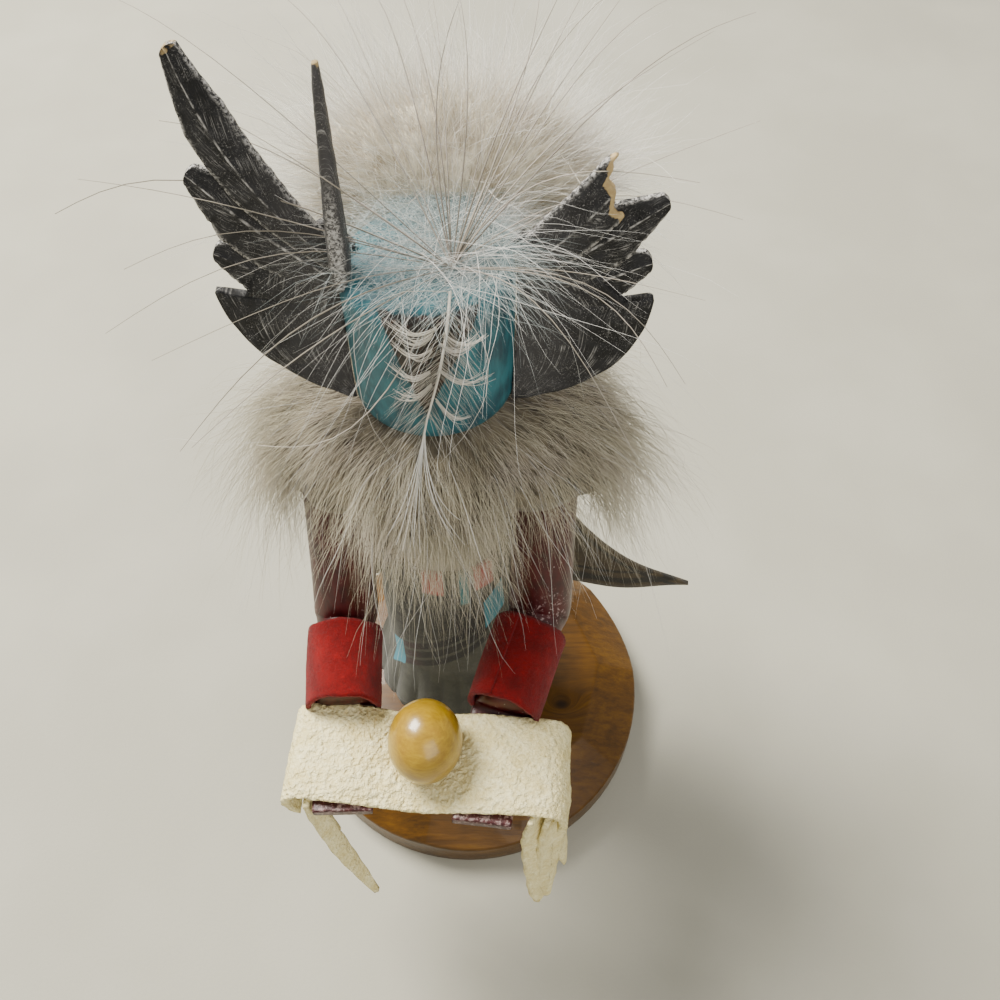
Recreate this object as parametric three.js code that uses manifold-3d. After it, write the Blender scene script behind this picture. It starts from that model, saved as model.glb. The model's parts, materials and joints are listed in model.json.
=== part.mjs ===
// A carved kachina doll: a standing figure with a turquoise helmet, black wings, fur and plumes,
// which carries a wooden ball on a suede strip. Millimetres, +Z up, the figure faces -Y.
// The origin is the centre of the base's underside.
import * as THREE from 'three';
import { mergeVertices } from 'three/addons/utils/BufferGeometryUtils.js';
import Module from 'manifold-3d';

const wasm = await Module();
wasm.setup();

// ---- Driving dimensions -----------------------------------------------------------------------

const GAP = 0.3;
const FIGURE_X = -2.3;

const BASE = { radius: 34.5, height: 12.5, rim: 6.5, facets: 10, topCorner: 26.5, turn: 4 };

const BODY = {
  bottom: 26, hip: 10.6, hipZ: 50, waist: 9.5, waistZ: 66, chest: 9.7, chestZ: 82,
  shoulder: 8.2, shoulderZ: 92, neck: 7, neckZ: 97.5, neckTop: 101.7,
};
const BOOT = {
  apart: 5.4, radius: 4.9, ankle: 4.2, height: 16, footLength: 18, footWidth: 8.4, footHeight: 5, bevel: 1.2,
};
const DRESS = {
  top: 69, bandTop: 51, bandBottom: 36, midHem: 29.5, hem: 23.5, thickness: 1.2,
  flutes: 18, fluteDepth: 0.045, fluteStart: 8, flare: 0.12,
};

const HEAD = { radius: 10.25, bottom: 102, height: 20.4, corner: 2.6, crown: 0.4 };

const ARM = { radius: 4.85, forearm: 4.5, shoulderOut: 14.95, handWidth: 4.3, handThickness: 1.1 };
const RIGHT_ARM = { elbow: [-15.6, -12.3, 62], wrist: [-15.1, -24.2, 60.9], tip: [-14, -43.3, 57.9] };
const LEFT_ARM = { elbow: [14.7, -11.7, 62], wrist: [10, -25, 60.9], tip: [5.6, -44.7, 57.9] };
const CUFF = { start: 0.33, end: 1.22, wall: 0.75, flare: 0.25, ease: 0.08 };

const STRIP = { right: -22.2, left: 18, centreY: -35.7, slope: 0.075, depth: 14.2, thickness: 1.3 };
const STRIP_Z = { hands: 60, sag: 57.9, stub: 52 };
const TAIL = { width: 3.5, thickness: 1 };
const BALL = { radius: 5.3, x: -2.2, y: -34.7 };

const WING = { inner: 8, rake: 0.184, lowestZ: 101.7, lowestY: -4, plate: 1.1, step: 0.55 };
const SPIKE = { foot: [-9.35, -2.9, 120.2], tip: [-8.9, 0, 145.6] };

const RUFF = { inner: 7.6, reach: 26.6, locks: 16, lockDepth: 1.8, hang: 3.2, hangFrom: 88, swell: 0.05 };
const CREST = {
  x: 6, y: 14.2, z: 121, width: 25, depth: 8, height: 16.5, lean: 2.5, locks: 13, lockDepth: 0.11,
};
const TUFT = { x: 2, y: 2.5, z: 122.6, width: 7.4, depth: 9, height: 4.2, locks: 8, lockDepth: 0.16 };
const CAPE = {
  top: 91, hem: 37, cornerLift: 3, right: 43.4, left: 23.5, shoulder: 15.5, thickness: 1.1,
  edgeY: 3.6, backY: 10.9, standOff: 2.6, wrap: 17,
};

// ---- Tools for closed solids ------------------------------------------------------------------

const MERGE = 1e-4;

// Six times the volume that the triangles enclose, negative where they face inwards.
function signedVolume(positions, index) {
  const [a, b, c] = [new THREE.Vector3(), new THREE.Vector3(), new THREE.Vector3()];
  let sum = 0;
  for (let i = 0; i < index.length; i += 3) {
    a.fromBufferAttribute(positions, index[i]);
    b.fromBufferAttribute(positions, index[i + 1]);
    c.fromBufferAttribute(positions, index[i + 2]);
    sum += a.dot(b.cross(c));
  }
  return sum;
}

// One closed skin: shared corners merged, collapsed triangles dropped, faces outwards.
function closed(geometry) {
  geometry.deleteAttribute('normal');
  geometry.deleteAttribute('uv');
  const merged = mergeVertices(geometry, MERGE);
  const old = merged.index.array;
  const index = [];
  for (let i = 0; i < old.length; i += 3) {
    const [a, b, c] = [old[i], old[i + 1], old[i + 2]];
    if (a !== b && b !== c && c !== a) index.push(a, b, c);
  }
  if (signedVolume(merged.attributes.position, index) < 0) index.reverse();
  merged.setIndex(index);
  return merged;
}

function toSolid(geometry) {
  const skin = closed(geometry);
  return new wasm.Manifold(new wasm.Mesh({
    numProp: 3,
    vertProperties: new Float32Array(skin.attributes.position.array),
    triVerts: new Uint32Array(skin.index.array),
  }));
}

function toGeometry(solid) {
  const mesh = solid.getMesh();
  const geometry = new THREE.BufferGeometry();
  geometry.setAttribute('position', new THREE.BufferAttribute(mesh.vertProperties, 3));
  geometry.setIndex(new THREE.BufferAttribute(mesh.triVerts, 1));
  return geometry;
}

function unite(geometries) {
  return geometries.map(toSolid).reduce((whole, part) => whole.add(part));
}

const cutBy = (solid, others) => others.reduce((rest, other) => rest.subtract(toSolid(other)), solid);

// Moves every vertex of a geometry to where place(x, y, z) says.
function warp(geometry, place) {
  const at = geometry.attributes.position;
  for (let i = 0; i < at.count; i += 1) {
    at.setXYZ(i, ...place(at.getX(i), at.getY(i), at.getZ(i)));
  }
  return geometry;
}

// Sweeps a unit prototype, whose length lies along its Y, through stations
// [x, y, z, half width, half thickness]; the width lies along the vector that across(t) gives.
function sweep(prototype, stations, across) {
  const path = new THREE.CatmullRomCurve3(stations.map(([x, y, z]) => new THREE.Vector3(x, y, z)));
  const sizes = new THREE.CatmullRomCurve3(stations.map((s) => new THREE.Vector3(s[3], s[4], 0)));
  const side = new THREE.Vector3();
  const normal = new THREE.Vector3();
  return warp(prototype, (x, y, z) => {
    const t = THREE.MathUtils.clamp(y + 0.5, 0, 1);
    const tangent = path.getTangent(t);
    side.set(...across(t));
    side.addScaledVector(tangent, -side.dot(tangent)).normalize();
    normal.crossVectors(tangent, side);
    const size = sizes.getPoint(t);
    return path.getPoint(t).addScaledVector(side, x * size.x).addScaledVector(normal, z * size.y).toArray();
  });
}

const alongX = () => [1, 0, 0];
const rod = (sides, steps) => new THREE.CylinderGeometry(1, 1, 1, sides, steps);
const ribbon = (steps) => new THREE.BoxGeometry(2, 1, 2, 1, steps, 1);

// A body turned about the Z axis from [radius, height] pairs.
function turned(profile, segments) {
  const points = profile.map(([radius, height]) => new THREE.Vector2(radius, height));
  return new THREE.LatheGeometry(points, segments).rotateX(Math.PI / 2);
}

// Runs from 0 between two locks to 1 on a lock's ridge, `count` times round a full turn.
function lock(angle, count) {
  const phase = (angle * count) / (2 * Math.PI);
  const wave = Math.abs(2 * (phase - Math.floor(phase)) - 1);
  return 1 - wave * wave;
}

// ---- Base and figure --------------------------------------------------------------------------

// A sawn disc whose upper edge is cut to flat facets.
function baseGeometry() {
  const { radius, height, rim, facets, topCorner, turn } = BASE;
  const flat = Math.cos(Math.PI / facets);
  const spread = (radius - topCorner * flat) / (height - rim);
  const footCorner = (topCorner * flat + spread * height) / flat;
  const disc = new THREE.CylinderGeometry(radius, radius, height, 72).rotateX(Math.PI / 2);
  const cutter = new THREE.CylinderGeometry(topCorner, footCorner, height, facets);
  cutter.rotateX(Math.PI / 2).rotateZ(THREE.MathUtils.degToRad(turn + 90));
  return toGeometry(toSolid(disc).intersect(toSolid(cutter))).translate(0, 0, height / 2);
}

const bodyProfile = (grow) => [
  [0, BODY.bottom],
  [BODY.hip + grow, BODY.bottom],
  [BODY.hip + grow, BODY.hipZ],
  [BODY.waist + grow, BODY.waistZ],
  [BODY.chest + grow, BODY.chestZ],
  [BODY.chest + grow, BODY.shoulderZ],
  [BODY.shoulder + grow, (BODY.shoulderZ + BODY.neckZ) / 2],
  [BODY.neck + grow, BODY.neckZ],
  [BODY.neck + grow, BODY.neckTop + grow],
  [0, BODY.neckTop + grow],
];

function bootGeometries(side) {
  const foot = new THREE.Shape();
  const half = BOOT.footWidth / 2;
  const straight = BOOT.footLength - BOOT.footWidth;
  foot.absarc(0, 0, half, 0, Math.PI, false);
  foot.absarc(0, -straight, half, Math.PI, 2 * Math.PI, false);
  const sole = new THREE.ExtrudeGeometry(foot, {
    depth: BOOT.footHeight - BOOT.bevel,
    curveSegments: 4,
    bevelThickness: BOOT.bevel,
    bevelSize: BOOT.bevel,
    bevelOffset: -BOOT.bevel,
    bevelSegments: 1,
  });
  const floor = BASE.height + GAP;
  const leg = new THREE.CylinderGeometry(BOOT.radius, BOOT.ankle, BOOT.height, 12);
  leg.rotateX(Math.PI / 2);
  return [
    warp(sole, (x, y, z) => [x + side * BOOT.apart, y, Math.max(z, 0) + floor]),
    leg.translate(side * BOOT.apart, 0, floor + BOOT.height / 2),
  ];
}

function figureGeometry() {
  const trunk = turned(bodyProfile(0), 26);
  return toGeometry(unite([trunk, ...bootGeometries(-1), ...bootGeometries(1)]));
}

// A suede sleeve round the trunk; its lower part falls in flutes below the painted band.
function dressGeometry() {
  const taper = (BODY.hip - BODY.waist) / (BODY.waistZ - BODY.hipZ);
  const trunk = (z) => BODY.hip - Math.max(0, z - BODY.hipZ) * taper;
  const inner = (z) => trunk(z) + GAP + Math.max(0, DRESS.bandBottom - z) * DRESS.flare;
  const heights = [DRESS.hem, DRESS.midHem, DRESS.bandBottom, DRESS.bandTop, DRESS.top];
  const outside = heights.map((z) => [inner(z) + DRESS.thickness, z]);
  const inside = heights.map((z) => [inner(z), z]).reverse();
  const sleeve = turned([...outside, ...inside, outside[0]], DRESS.flutes * 2);
  return closed(warp(sleeve, (x, y, z) => {
    const fall = THREE.MathUtils.clamp((DRESS.bandBottom - z) / DRESS.fluteStart, 0, 1);
    const grow = 1 + fall * DRESS.fluteDepth * lock(Math.atan2(y, x), DRESS.flutes);
    return [x * grow, y * grow, z];
  }));
}

// ---- Head -------------------------------------------------------------------------------------

// The helmet: a short cylinder with a rounded upper edge.
function headGeometry(grow = 0) {
  const { radius, bottom, height, corner } = HEAD;
  const top = bottom + height + grow;
  const profile = [[0, bottom - grow], [radius + grow, bottom - grow]];
  const steps = 4;
  for (let i = 0; i <= steps; i += 1) {
    const angle = (i / steps) * (Math.PI / 2);
    const out = radius + grow - corner + corner * Math.cos(angle);
    profile.push([out, top - corner + corner * Math.sin(angle)]);
  }
  profile.push([0, top + HEAD.crown]);
  return turned(profile, 40);
}

// ---- Arms, cuffs, strip and ball --------------------------------------------------------------

const mix = (a, b, t) => a.map((value, i) => value + (b[i] - value) * t);

// Hanging upper arm, bent elbow, straight forearm and a flat hand that ends in a square tip.
function armGeometry({ elbow, wrist, tip }, grow = 0) {
  const side = Math.sign(elbow[0]);
  const shoulder = [side * ARM.shoulderOut, 0.2, BODY.shoulderZ + 1.5];
  const [upper, fore] = [ARM.radius + grow, ARM.forearm + grow];
  const [handWide, handThick] = [ARM.handWidth + grow, ARM.handThickness + grow];
  const flatHand = (t) => [mix(wrist, tip, t ** 0.5)[0], mix(wrist, tip, t)[1], tip[2]];
  const stations = [
    [...mix(shoulder, elbow, -0.07), upper * 0.45, upper * 0.45],
    [...mix(shoulder, elbow, -0.03), upper * 0.88, upper * 0.88],
    [...mix(shoulder, elbow, 0.08), upper, upper],
    [...mix(shoulder, elbow, 0.45), upper, upper],
    [...mix(shoulder, elbow, 0.84), upper, upper],
    [...mix(mix(shoulder, elbow, 0.97), mix(elbow, wrist, 0.08), 0.5), upper * 1.01, upper],
    [...mix(elbow, wrist, 0.22), fore, fore],
    [...mix(elbow, wrist, 0.6), fore, fore],
    [...wrist, fore, fore * 0.94],
    [...flatHand(0.13), handWide, handThick * 1.1],
    [...flatHand(0.4), handWide, handThick],
    [...tip, handWide, handThick],
  ];
  return sweep(rod(12, 22), stations, alongX);
}

// A suede band round the forearm, a little wider at the wrist; grow thickens it, for a clearance.
function cuffGeometry(arm, grow = 0) {
  const from = new THREE.Vector3(...mix(arm.elbow, arm.wrist, CUFF.start));
  const to = new THREE.Vector3(...mix(arm.elbow, arm.wrist, CUFF.end));
  const length = from.distanceTo(to) + grow;
  const inner = ARM.forearm + GAP + CUFF.ease;
  const outer = inner + CUFF.wall + grow;
  const profile = [
    [inner, 0],
    [outer, 0],
    [outer + CUFF.flare, length],
    [inner, length],
    [inner, 0],
  ];
  const turn = new THREE.Quaternion();
  turn.setFromUnitVectors(new THREE.Vector3(0, 0, 1), to.clone().sub(from).normalize());
  const band = turned(profile, 24).applyQuaternion(turn).translate(...from.toArray());
  return toGeometry(toSolid(band).subtract(toSolid(armGeometry(arm, GAP))));
}

const stripY = (x) => STRIP.centreY - STRIP.slope * (x - BALL.x);

// The strip lies over both hands, sags under the ball and turns down at both ends,
// where it is slit into hanging tails.
function stripGeometry() {
  const half = [STRIP.depth / 2, STRIP.thickness / 2];
  const { right, left } = STRIP;
  const line = [
    [right + 0.9, STRIP_Z.stub],
    [right, STRIP_Z.hands - 3],
    [right + 1.7, STRIP_Z.hands - 0.2],
    [right + 5, STRIP_Z.hands + 0.2],
    [RIGHT_ARM.tip[0] + 2, STRIP_Z.hands],
    [RIGHT_ARM.tip[0] + 6, STRIP_Z.hands - 1.1],
    [BALL.x, STRIP_Z.sag],
    [LEFT_ARM.tip[0] - 4.2, STRIP_Z.hands - 0.9],
    [LEFT_ARM.tip[0], STRIP_Z.hands],
    [left - 6, STRIP_Z.hands + 0.2],
    [left - 1.7, STRIP_Z.hands - 0.4],
    [left, STRIP_Z.hands - 3.2],
    [left - 0.2, STRIP_Z.stub],
  ];
  const stations = line.map(([x, z]) => [x, stripY(x), z, ...half]);
  const band = sweep(ribbon(28), stations, () => [STRIP.slope, 1, 0]);
  return toGeometry(cutBy(unite([band, ...TAILS.map(tailGeometry)]), [
    armGeometry(RIGHT_ARM, GAP),
    armGeometry(LEFT_ARM, GAP),
    cuffGeometry(RIGHT_ARM, GAP),
    cuffGeometry(LEFT_ARM, GAP),
  ]));
}

// The tails at both ends: where each leaves the strip, where its tip hangs, and how far it turns
// its broad side from the X direction towards the viewer in front, in degrees.
const TAILS = [
  { root: [-18.9, -40.9, 59.6], tip: [-12.7, -45, 21.5], turn: 62 },
  { root: [-21.4, -35.9, 53], tip: [-19.5, -36.8, 29], turn: -12 },
  { root: [-21.4, -32.3, 53], tip: [-20.6, -31.6, 25], turn: 0 },
  { root: [-21.4, -28.7, 53], tip: [-21, -27.2, 31], turn: 8 },
  { root: [13.4, -42.9, 59.6], tip: [14.8, -46.4, 19.5], turn: 68 },
  { root: [16.6, -40.4, 53.5], tip: [18.3, -43.6, 24], turn: 50 },
  { root: [17.8, -36.6, 53], tip: [20.4, -39, 27], turn: 20 },
  { root: [17.8, -33, 53], tip: [19.4, -33.2, 30], turn: 6 },
];

function tailGeometry({ root, tip, turn }) {
  const half = [TAIL.width / 2, TAIL.thickness / 2];
  const at = (t) => [root[0] + (tip[0] - root[0]) * t ** 1.4, ...mix(root, tip, t).slice(1)];
  const stations = [
    [...at(0), ...half],
    [...at(0.3), ...half],
    [...at(0.6), ...half],
    [...at(0.85), half[0] * 0.8, half[1]],
    [...at(1), half[0] * 0.3, half[1] * 0.8],
  ];
  return sweep(ribbon(7), stations, (t) => {
    const angle = THREE.MathUtils.degToRad(turn) * Math.min(1, 0.4 + 2 * t);
    return [Math.sin(angle), Math.cos(angle), 0];
  });
}

function ballGeometry() {
  const z = STRIP_Z.sag + STRIP.thickness / 2 + BALL.radius + GAP;
  return closed(new THREE.SphereGeometry(BALL.radius, 18, 10).translate(BALL.x, BALL.y, z));
}

// ---- Wings and feathers -----------------------------------------------------------------------

// Each feather runs from its root to its tip, both [out from the axis, height];
// wide is its half width, and bow its bend, towards the head where positive.
// The web is the plate behind them: its lower edge is an arc that bulges to `swell`.
const FULL_WING = {
  web: { low: [10.9, 101.7], swell: [23.6, 107.2], tip: [25, 117], top: [11, 126] },
  feathers: [
    { root: [7.5, 119.5], tip: [23.8, 144], wide: 2.8, bow: -2.9, blunt: 0.4 },
    { root: [6, 116], tip: [24.6, 131], wide: 4.1, bow: -0.9, blunt: 0.34 },
    { root: [6, 114], tip: [23.6, 121.6], wide: 3.4, bow: -0.4, blunt: 0.42 },
  ],
};
const BROKEN_WING = {
  web: { low: [11.6, 101.5], swell: [25.8, 104.4], tip: [26.6, 116.2], top: [11, 124.4] },
  feathers: [
    { root: [7.5, 118.3], tip: [22, 131.4], wide: 3.1, bow: -0.9, blunt: 0.9 },
    { root: [6, 116], tip: [26.4, 128], wide: 3.7, bow: -0.6, blunt: 0.3 },
    { root: [6, 114], tip: [25.2, 120.4], wide: 3.6, bow: -0.4, blunt: 0.42 },
  ],
  tear: [[20.6, 136], [20.4, 133.2], [19.8, 131.2], [20.8, 129.2], [20.5, 127.8], [22, 126.6]],
};

// A flat blade with its length along +Y, widest past its middle, and a blunt round tip.
function featherGeometry({ root, tip, wide, bow, blunt }, layer) {
  const length = Math.hypot(tip[0] - root[0], tip[1] - root[1]);
  const steps = 9;
  const halfWidth = (t) => wide * Math.min(1, 0.5 + t) * Math.min(1, blunt + 2.6 * (1 - t));
  const lean = (t) => -bow * (1 - (2 * t - 1) ** 2);
  const edge = (side) => Array.from({ length: steps + 1 }, (_, i) => {
    const t = i / steps;
    return new THREE.Vector2(lean(t) + side * halfWidth(t), t * length);
  });
  const end = [new THREE.Vector2(0, length + wide * blunt * 0.5)];
  const outline = new THREE.Shape([...edge(1), ...end, ...edge(-1).reverse()]);
  const blade = plate(outline, layer * WING.step, WING.plate);
  blade.rotateZ(Math.atan2(tip[1] - root[1], tip[0] - root[0]) - Math.PI / 2);
  return blade.translate(root[0], root[1], 0);
}

// A flat polygon of [out, height] corners as a plate, set back by `depth`.
function plate(corners, depth, thickness) {
  const outline = corners instanceof THREE.Shape
    ? corners
    : new THREE.Shape(corners.map(([out, height]) => new THREE.Vector2(out, height)));
  const settings = { depth: thickness, bevelEnabled: false, curveSegments: 7 };
  const slab = new THREE.ExtrudeGeometry(outline, settings);
  return slab.translate(0, 0, -depth - thickness);
}

// The web meets the helmet and ends in the lowest feather's tip.
function webGeometry({ low, swell, tip, top }) {
  const outline = new THREE.Shape();
  outline.moveTo(WING.inner, low[1] + 0.2);
  outline.lineTo(...low);
  outline.quadraticCurveTo(...swell, ...tip);
  outline.lineTo(tip[0] - 3.4, tip[1] - 0.6);
  outline.lineTo(top[0] + 8, top[1] - 5);
  outline.lineTo(...top);
  outline.lineTo(WING.inner, top[1] - 3);
  return plate(outline, WING.step * 1.4, WING.plate + WING.step);
}

// side is -1 for the figure's right wing, at -X, and 1 for its left wing.
function wingGeometry(side, { web, feathers, tear }) {
  const rake = (geometry) => warp(geometry, (out, height, depth) => {
    const y = WING.lowestY + WING.rake * (height - WING.lowestZ) - depth;
    return [side * out, y, height];
  });
  const blades = feathers.map((feather, i) => toSolid(rake(featherGeometry(feather, i))));
  if (tear) {
    const beyond = plate([...tear, [40, 126.6], [40, 136]], -5, 10);
    blades[0] = blades[0].subtract(toSolid(rake(beyond)));
  }
  const whole = blades.reduce((wing, blade) => wing.add(blade), toSolid(rake(webGeometry(web))));
  return toGeometry(whole.subtract(toSolid(headGeometry(GAP))));
}

// A single narrow feather stood on edge beside the right wing, its foot shaped to the helmet.
function spikeGeometry() {
  const stations = [
    [...SPIKE.foot, 1.4, 1.6],
    [...mix(SPIKE.foot, SPIKE.tip, 0.4), 1.15, 1.5],
    [...mix(SPIKE.foot, SPIKE.tip, 0.9), 0.65, 0.8],
    [...SPIKE.tip, 0.45, 0.4],
  ];
  return toGeometry(toSolid(sweep(rod(8, 6), stations, alongX)).subtract(toSolid(headGeometry(GAP))));
}

// A small soft feather glued to the crown, which hangs over the face on to the ruff.
function facePlumeGeometry() {
  const front = -HEAD.radius;
  const crown = HEAD.bottom + HEAD.height;
  const stations = [
    [1.9, front + 3, crown + 1.1, 0.6, 0.4],
    [1.8, front + 0.2, crown + 0.1, 1.1, 0.4],
    [1.5, front - 1.1, crown - 3.2, 2.2, 0.4],
    [0.6, front - 1.5, crown - 8, 3.3, 0.4],
    [-0.4, front - 2, crown - 13.5, 3.3, 0.4],
    [-1.8, front - 4.4, crown - 18.6, 2.6, 0.4],
    [-2.8, front - 9.6, crown - 20.4, 1, 0.35],
  ];
  return closed(sweep(ribbon(16), stations, alongX));
}

// ---- Fur --------------------------------------------------------------------------------------

// A round collar of fur: locks run from the neck over the shoulders and hang clear below.
function ruffGeometry() {
  const reach = RUFF.reach;
  const profile = [
    [RUFF.inner, 101.3], [12, 100.9], [17.5, 99.6], [22.5, 96.8], [reach - 1, 91.5],
    [reach, 86], [reach - 2.4, 79.6], [reach - 5, 79.6], [17, 86],
    [12.5, 90.5], [RUFF.inner, 96.5], [RUFF.inner, 101.3],
  ];
  const collar = warp(turned(profile, RUFF.locks * 2), (x, y, z) => {
    const angle = Math.atan2(y, x);
    const out = THREE.MathUtils.smoothstep(Math.hypot(x, y), 11, reach);
    const grow = 1 + (out * RUFF.lockDepth * (lock(angle, RUFF.locks) - 0.5)) / reach;
    const swell = 1 + RUFF.swell * out * Math.sin(angle * 3 + 1);
    const hang = THREE.MathUtils.clamp((RUFF.hangFrom - z) / 10, 0, 1) * RUFF.hang;
    return [x * grow * swell, y * grow * swell, z - hang * (lock(angle, RUFF.locks) - 0.5)];
  });
  return toGeometry(cutBy(toSolid(collar), [
    turned(bodyProfile(GAP), 28),
    armGeometry(RIGHT_ARM, GAP),
    armGeometry(LEFT_ARM, GAP),
    capeGeometry(GAP),
  ]));
}

// The plume behind the helmet, a broad puff whose locks fan out, with a low tuft on the crown.
function crestGeometry() {
  const puff = warp(new THREE.SphereGeometry(1, CREST.locks * 2, 10), (x, y, z) => {
    const grow = 1 + CREST.lockDepth * (lock(Math.atan2(z, x), CREST.locks) - 0.5) * Math.hypot(x, z);
    return [
      CREST.x + CREST.width * x * grow,
      CREST.y + CREST.depth * y + CREST.lean * z,
      CREST.z + CREST.height * z * grow,
    ];
  });
  const tuft = warp(new THREE.SphereGeometry(1, 16, 8), (x, y, z) => {
    const grow = 1 + TUFT.lockDepth * (lock(Math.atan2(y, x), TUFT.locks) - 0.5);
    return [TUFT.x + TUFT.width * x * grow, TUFT.y + TUFT.depth * y * grow, TUFT.z + TUFT.height * z];
  });
  return toGeometry(cutBy(toSolid(puff).add(toSolid(tuft)), [
    headGeometry(GAP),
    grownPlate(wingGeometry(-1, FULL_WING)),
    grownPlate(wingGeometry(1, BROKEN_WING)),
  ]));
}

// A wing pushed a little backwards, to cut the clearance behind it.
const grownPlate = (geometry) => geometry.translate(0, GAP, 0);

// ---- Cape -------------------------------------------------------------------------------------

// A stiff suede cape down the back, flared to a far corner on the figure's left.
function capeGeometry(grow = 0) {
  const sheet = new THREE.BoxGeometry(1, 1, 1, 16, 7, 1);
  const side = CAPE.edgeY;
  return closed(warp(sheet, (u, v, w) => {
    const low = 1 - (v + 0.5);
    const wideRight = CAPE.shoulder + (CAPE.right - CAPE.shoulder) * low ** 3.2;
    const wideLeft = CAPE.shoulder + (CAPE.left - CAPE.shoulder) * low ** 2;
    const x = u > 0 ? 2 * u * (wideRight + grow) : 2 * u * (wideLeft + grow);
    const hem = CAPE.hem + CAPE.cornerLift * (x / CAPE.right) ** 2;
    const z = CAPE.top - (CAPE.top - hem) * low;
    const back = CAPE.backY + CAPE.standOff * Math.min(1, low * 1.6);
    const y = side + (back - side) / (1 + (x / CAPE.wrap) ** 2);
    return [x, y + w * (CAPE.thickness + 2 * grow), z + grow * 2 * (v > 0.49 ? 1 : 0)];
  }));
}

// ---- Looks and assembly -----------------------------------------------------------------------

const look = (color, roughness) => new THREE.MeshStandardMaterial({ color, roughness, metalness: 0 });
const LOOKS = {
  baseWood: look(0xa8732f, 0.45),
  carvedBody: look(0xb8b4a6, 0.7),
  whiteSuede: look(0xe2dcc8, 0.95),
  turquoise: look(0x4f9fb0, 0.5),
  maroon: look(0x6c2632, 0.4),
  redSuede: look(0xa81a1e, 0.9),
  ballWood: look(0xc8995a, 0.3),
  wingBlack: look(0x33343a, 0.65),
  fur: look(0xe6e0d6, 1),
  capeTan: look(0xa99a7c, 0.85),
};

function piece(name, geometry, material) {
  const mesh = new THREE.Mesh(geometry, material.clone());
  mesh.name = name;
  return mesh;
}

const standing = new THREE.Group();
standing.position.x = FIGURE_X;
standing.add(
  piece('figure', figureGeometry(), LOOKS.carvedBody),
  piece('dress', dressGeometry(), LOOKS.whiteSuede),
  piece('head', closed(headGeometry()), LOOKS.turquoise),
  piece('arm_right', closed(armGeometry(RIGHT_ARM)), LOOKS.maroon),
  piece('arm_left', closed(armGeometry(LEFT_ARM)), LOOKS.maroon),
  piece('cuff_right', cuffGeometry(RIGHT_ARM), LOOKS.redSuede),
  piece('cuff_left', cuffGeometry(LEFT_ARM), LOOKS.redSuede),
  piece('strip', stripGeometry(), LOOKS.whiteSuede),
  piece('ball', ballGeometry(), LOOKS.ballWood),
  piece('wing_right', wingGeometry(-1, FULL_WING), LOOKS.wingBlack),
  piece('wing_left', wingGeometry(1, BROKEN_WING), LOOKS.wingBlack),
  piece('spike_feather', spikeGeometry(), LOOKS.wingBlack),
  piece('face_plume', facePlumeGeometry(), LOOKS.fur),
  piece('crest_plume', crestGeometry(), LOOKS.fur),
  piece('fur_ruff', ruffGeometry(), LOOKS.fur),
  piece('cape', capeGeometry(), LOOKS.capeTan),
);

const doll = new THREE.Group();
doll.add(piece('base', baseGeometry(), LOOKS.baseWood), standing);

export default doll;
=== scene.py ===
"""A carved kachina doll with a turquoise helmet, black wings, fur and plumes.

It stands on a round wooden base and holds a wooden ball on a fringed suede strip. Sizes are in
millimetres inside the classes and become metres when a mesh is made.
"""

import json
import logging
import math
from dataclasses import dataclass, field
from enum import Enum
from typing import Sequence

import bmesh
import bpy
import numpy as np
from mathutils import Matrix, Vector, noise

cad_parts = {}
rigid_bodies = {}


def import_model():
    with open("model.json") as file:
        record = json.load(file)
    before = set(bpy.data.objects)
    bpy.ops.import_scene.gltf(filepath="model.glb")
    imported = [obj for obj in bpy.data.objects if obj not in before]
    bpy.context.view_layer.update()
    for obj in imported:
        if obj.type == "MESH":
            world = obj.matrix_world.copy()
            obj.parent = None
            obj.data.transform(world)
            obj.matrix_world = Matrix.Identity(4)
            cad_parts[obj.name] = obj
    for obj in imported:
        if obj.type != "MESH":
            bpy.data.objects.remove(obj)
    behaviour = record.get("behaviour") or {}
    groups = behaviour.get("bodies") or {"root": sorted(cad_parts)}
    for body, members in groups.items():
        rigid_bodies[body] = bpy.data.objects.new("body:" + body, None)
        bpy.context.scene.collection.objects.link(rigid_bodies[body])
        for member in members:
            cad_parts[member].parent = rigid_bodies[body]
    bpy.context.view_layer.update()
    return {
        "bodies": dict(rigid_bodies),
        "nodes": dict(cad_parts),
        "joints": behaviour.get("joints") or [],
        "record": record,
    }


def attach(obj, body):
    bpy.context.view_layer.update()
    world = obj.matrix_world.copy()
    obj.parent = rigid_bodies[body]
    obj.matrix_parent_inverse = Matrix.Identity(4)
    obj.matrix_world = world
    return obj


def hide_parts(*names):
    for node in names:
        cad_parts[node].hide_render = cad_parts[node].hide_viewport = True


MM = 0.001
FIGURE_X = -2.3
HAIR_LOW = (-45.5, -55.0, 1.0)
HAIR_HIGH = (51.5, 45.0, 157.0)
UV_NAME = "surface"
LOG = logging.getLogger("kachina")

Array = np.ndarray
Random = np.random.Generator
Link = bpy.types.NodeSocket
Pair = tuple[float, float]
Point = tuple[float, float, float]
Color = tuple[float, float, float, float]


def rgb(red: float, green: float, blue: float) -> Color:
    """Return an opaque linear colour from display values between 0 and 1."""
    linear = [c / 12.92 if c <= 0.04045 else ((c + 0.055) / 1.055) ** 2.4 for c in (red, green, blue)]
    return (linear[0], linear[1], linear[2], 1.0)


# ---- Node graphs ------------------------------------------------------------------------------


def added(tree: bpy.types.NodeTree, kind: str, settings: dict, values: dict) -> bpy.types.Node:
    """Add a node to a tree.

    Args:
        tree: The shader or geometry tree.
        kind: The node's type name.
        settings: Its properties, set before its inputs.
        values: Sockets, links or plain values by input name or number.

    Returns:
        The new node.
    """
    node = tree.nodes.new(kind)
    for key, value in settings.items():
        setattr(node, key, value)
    plug(tree, node, values)
    return node


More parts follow.
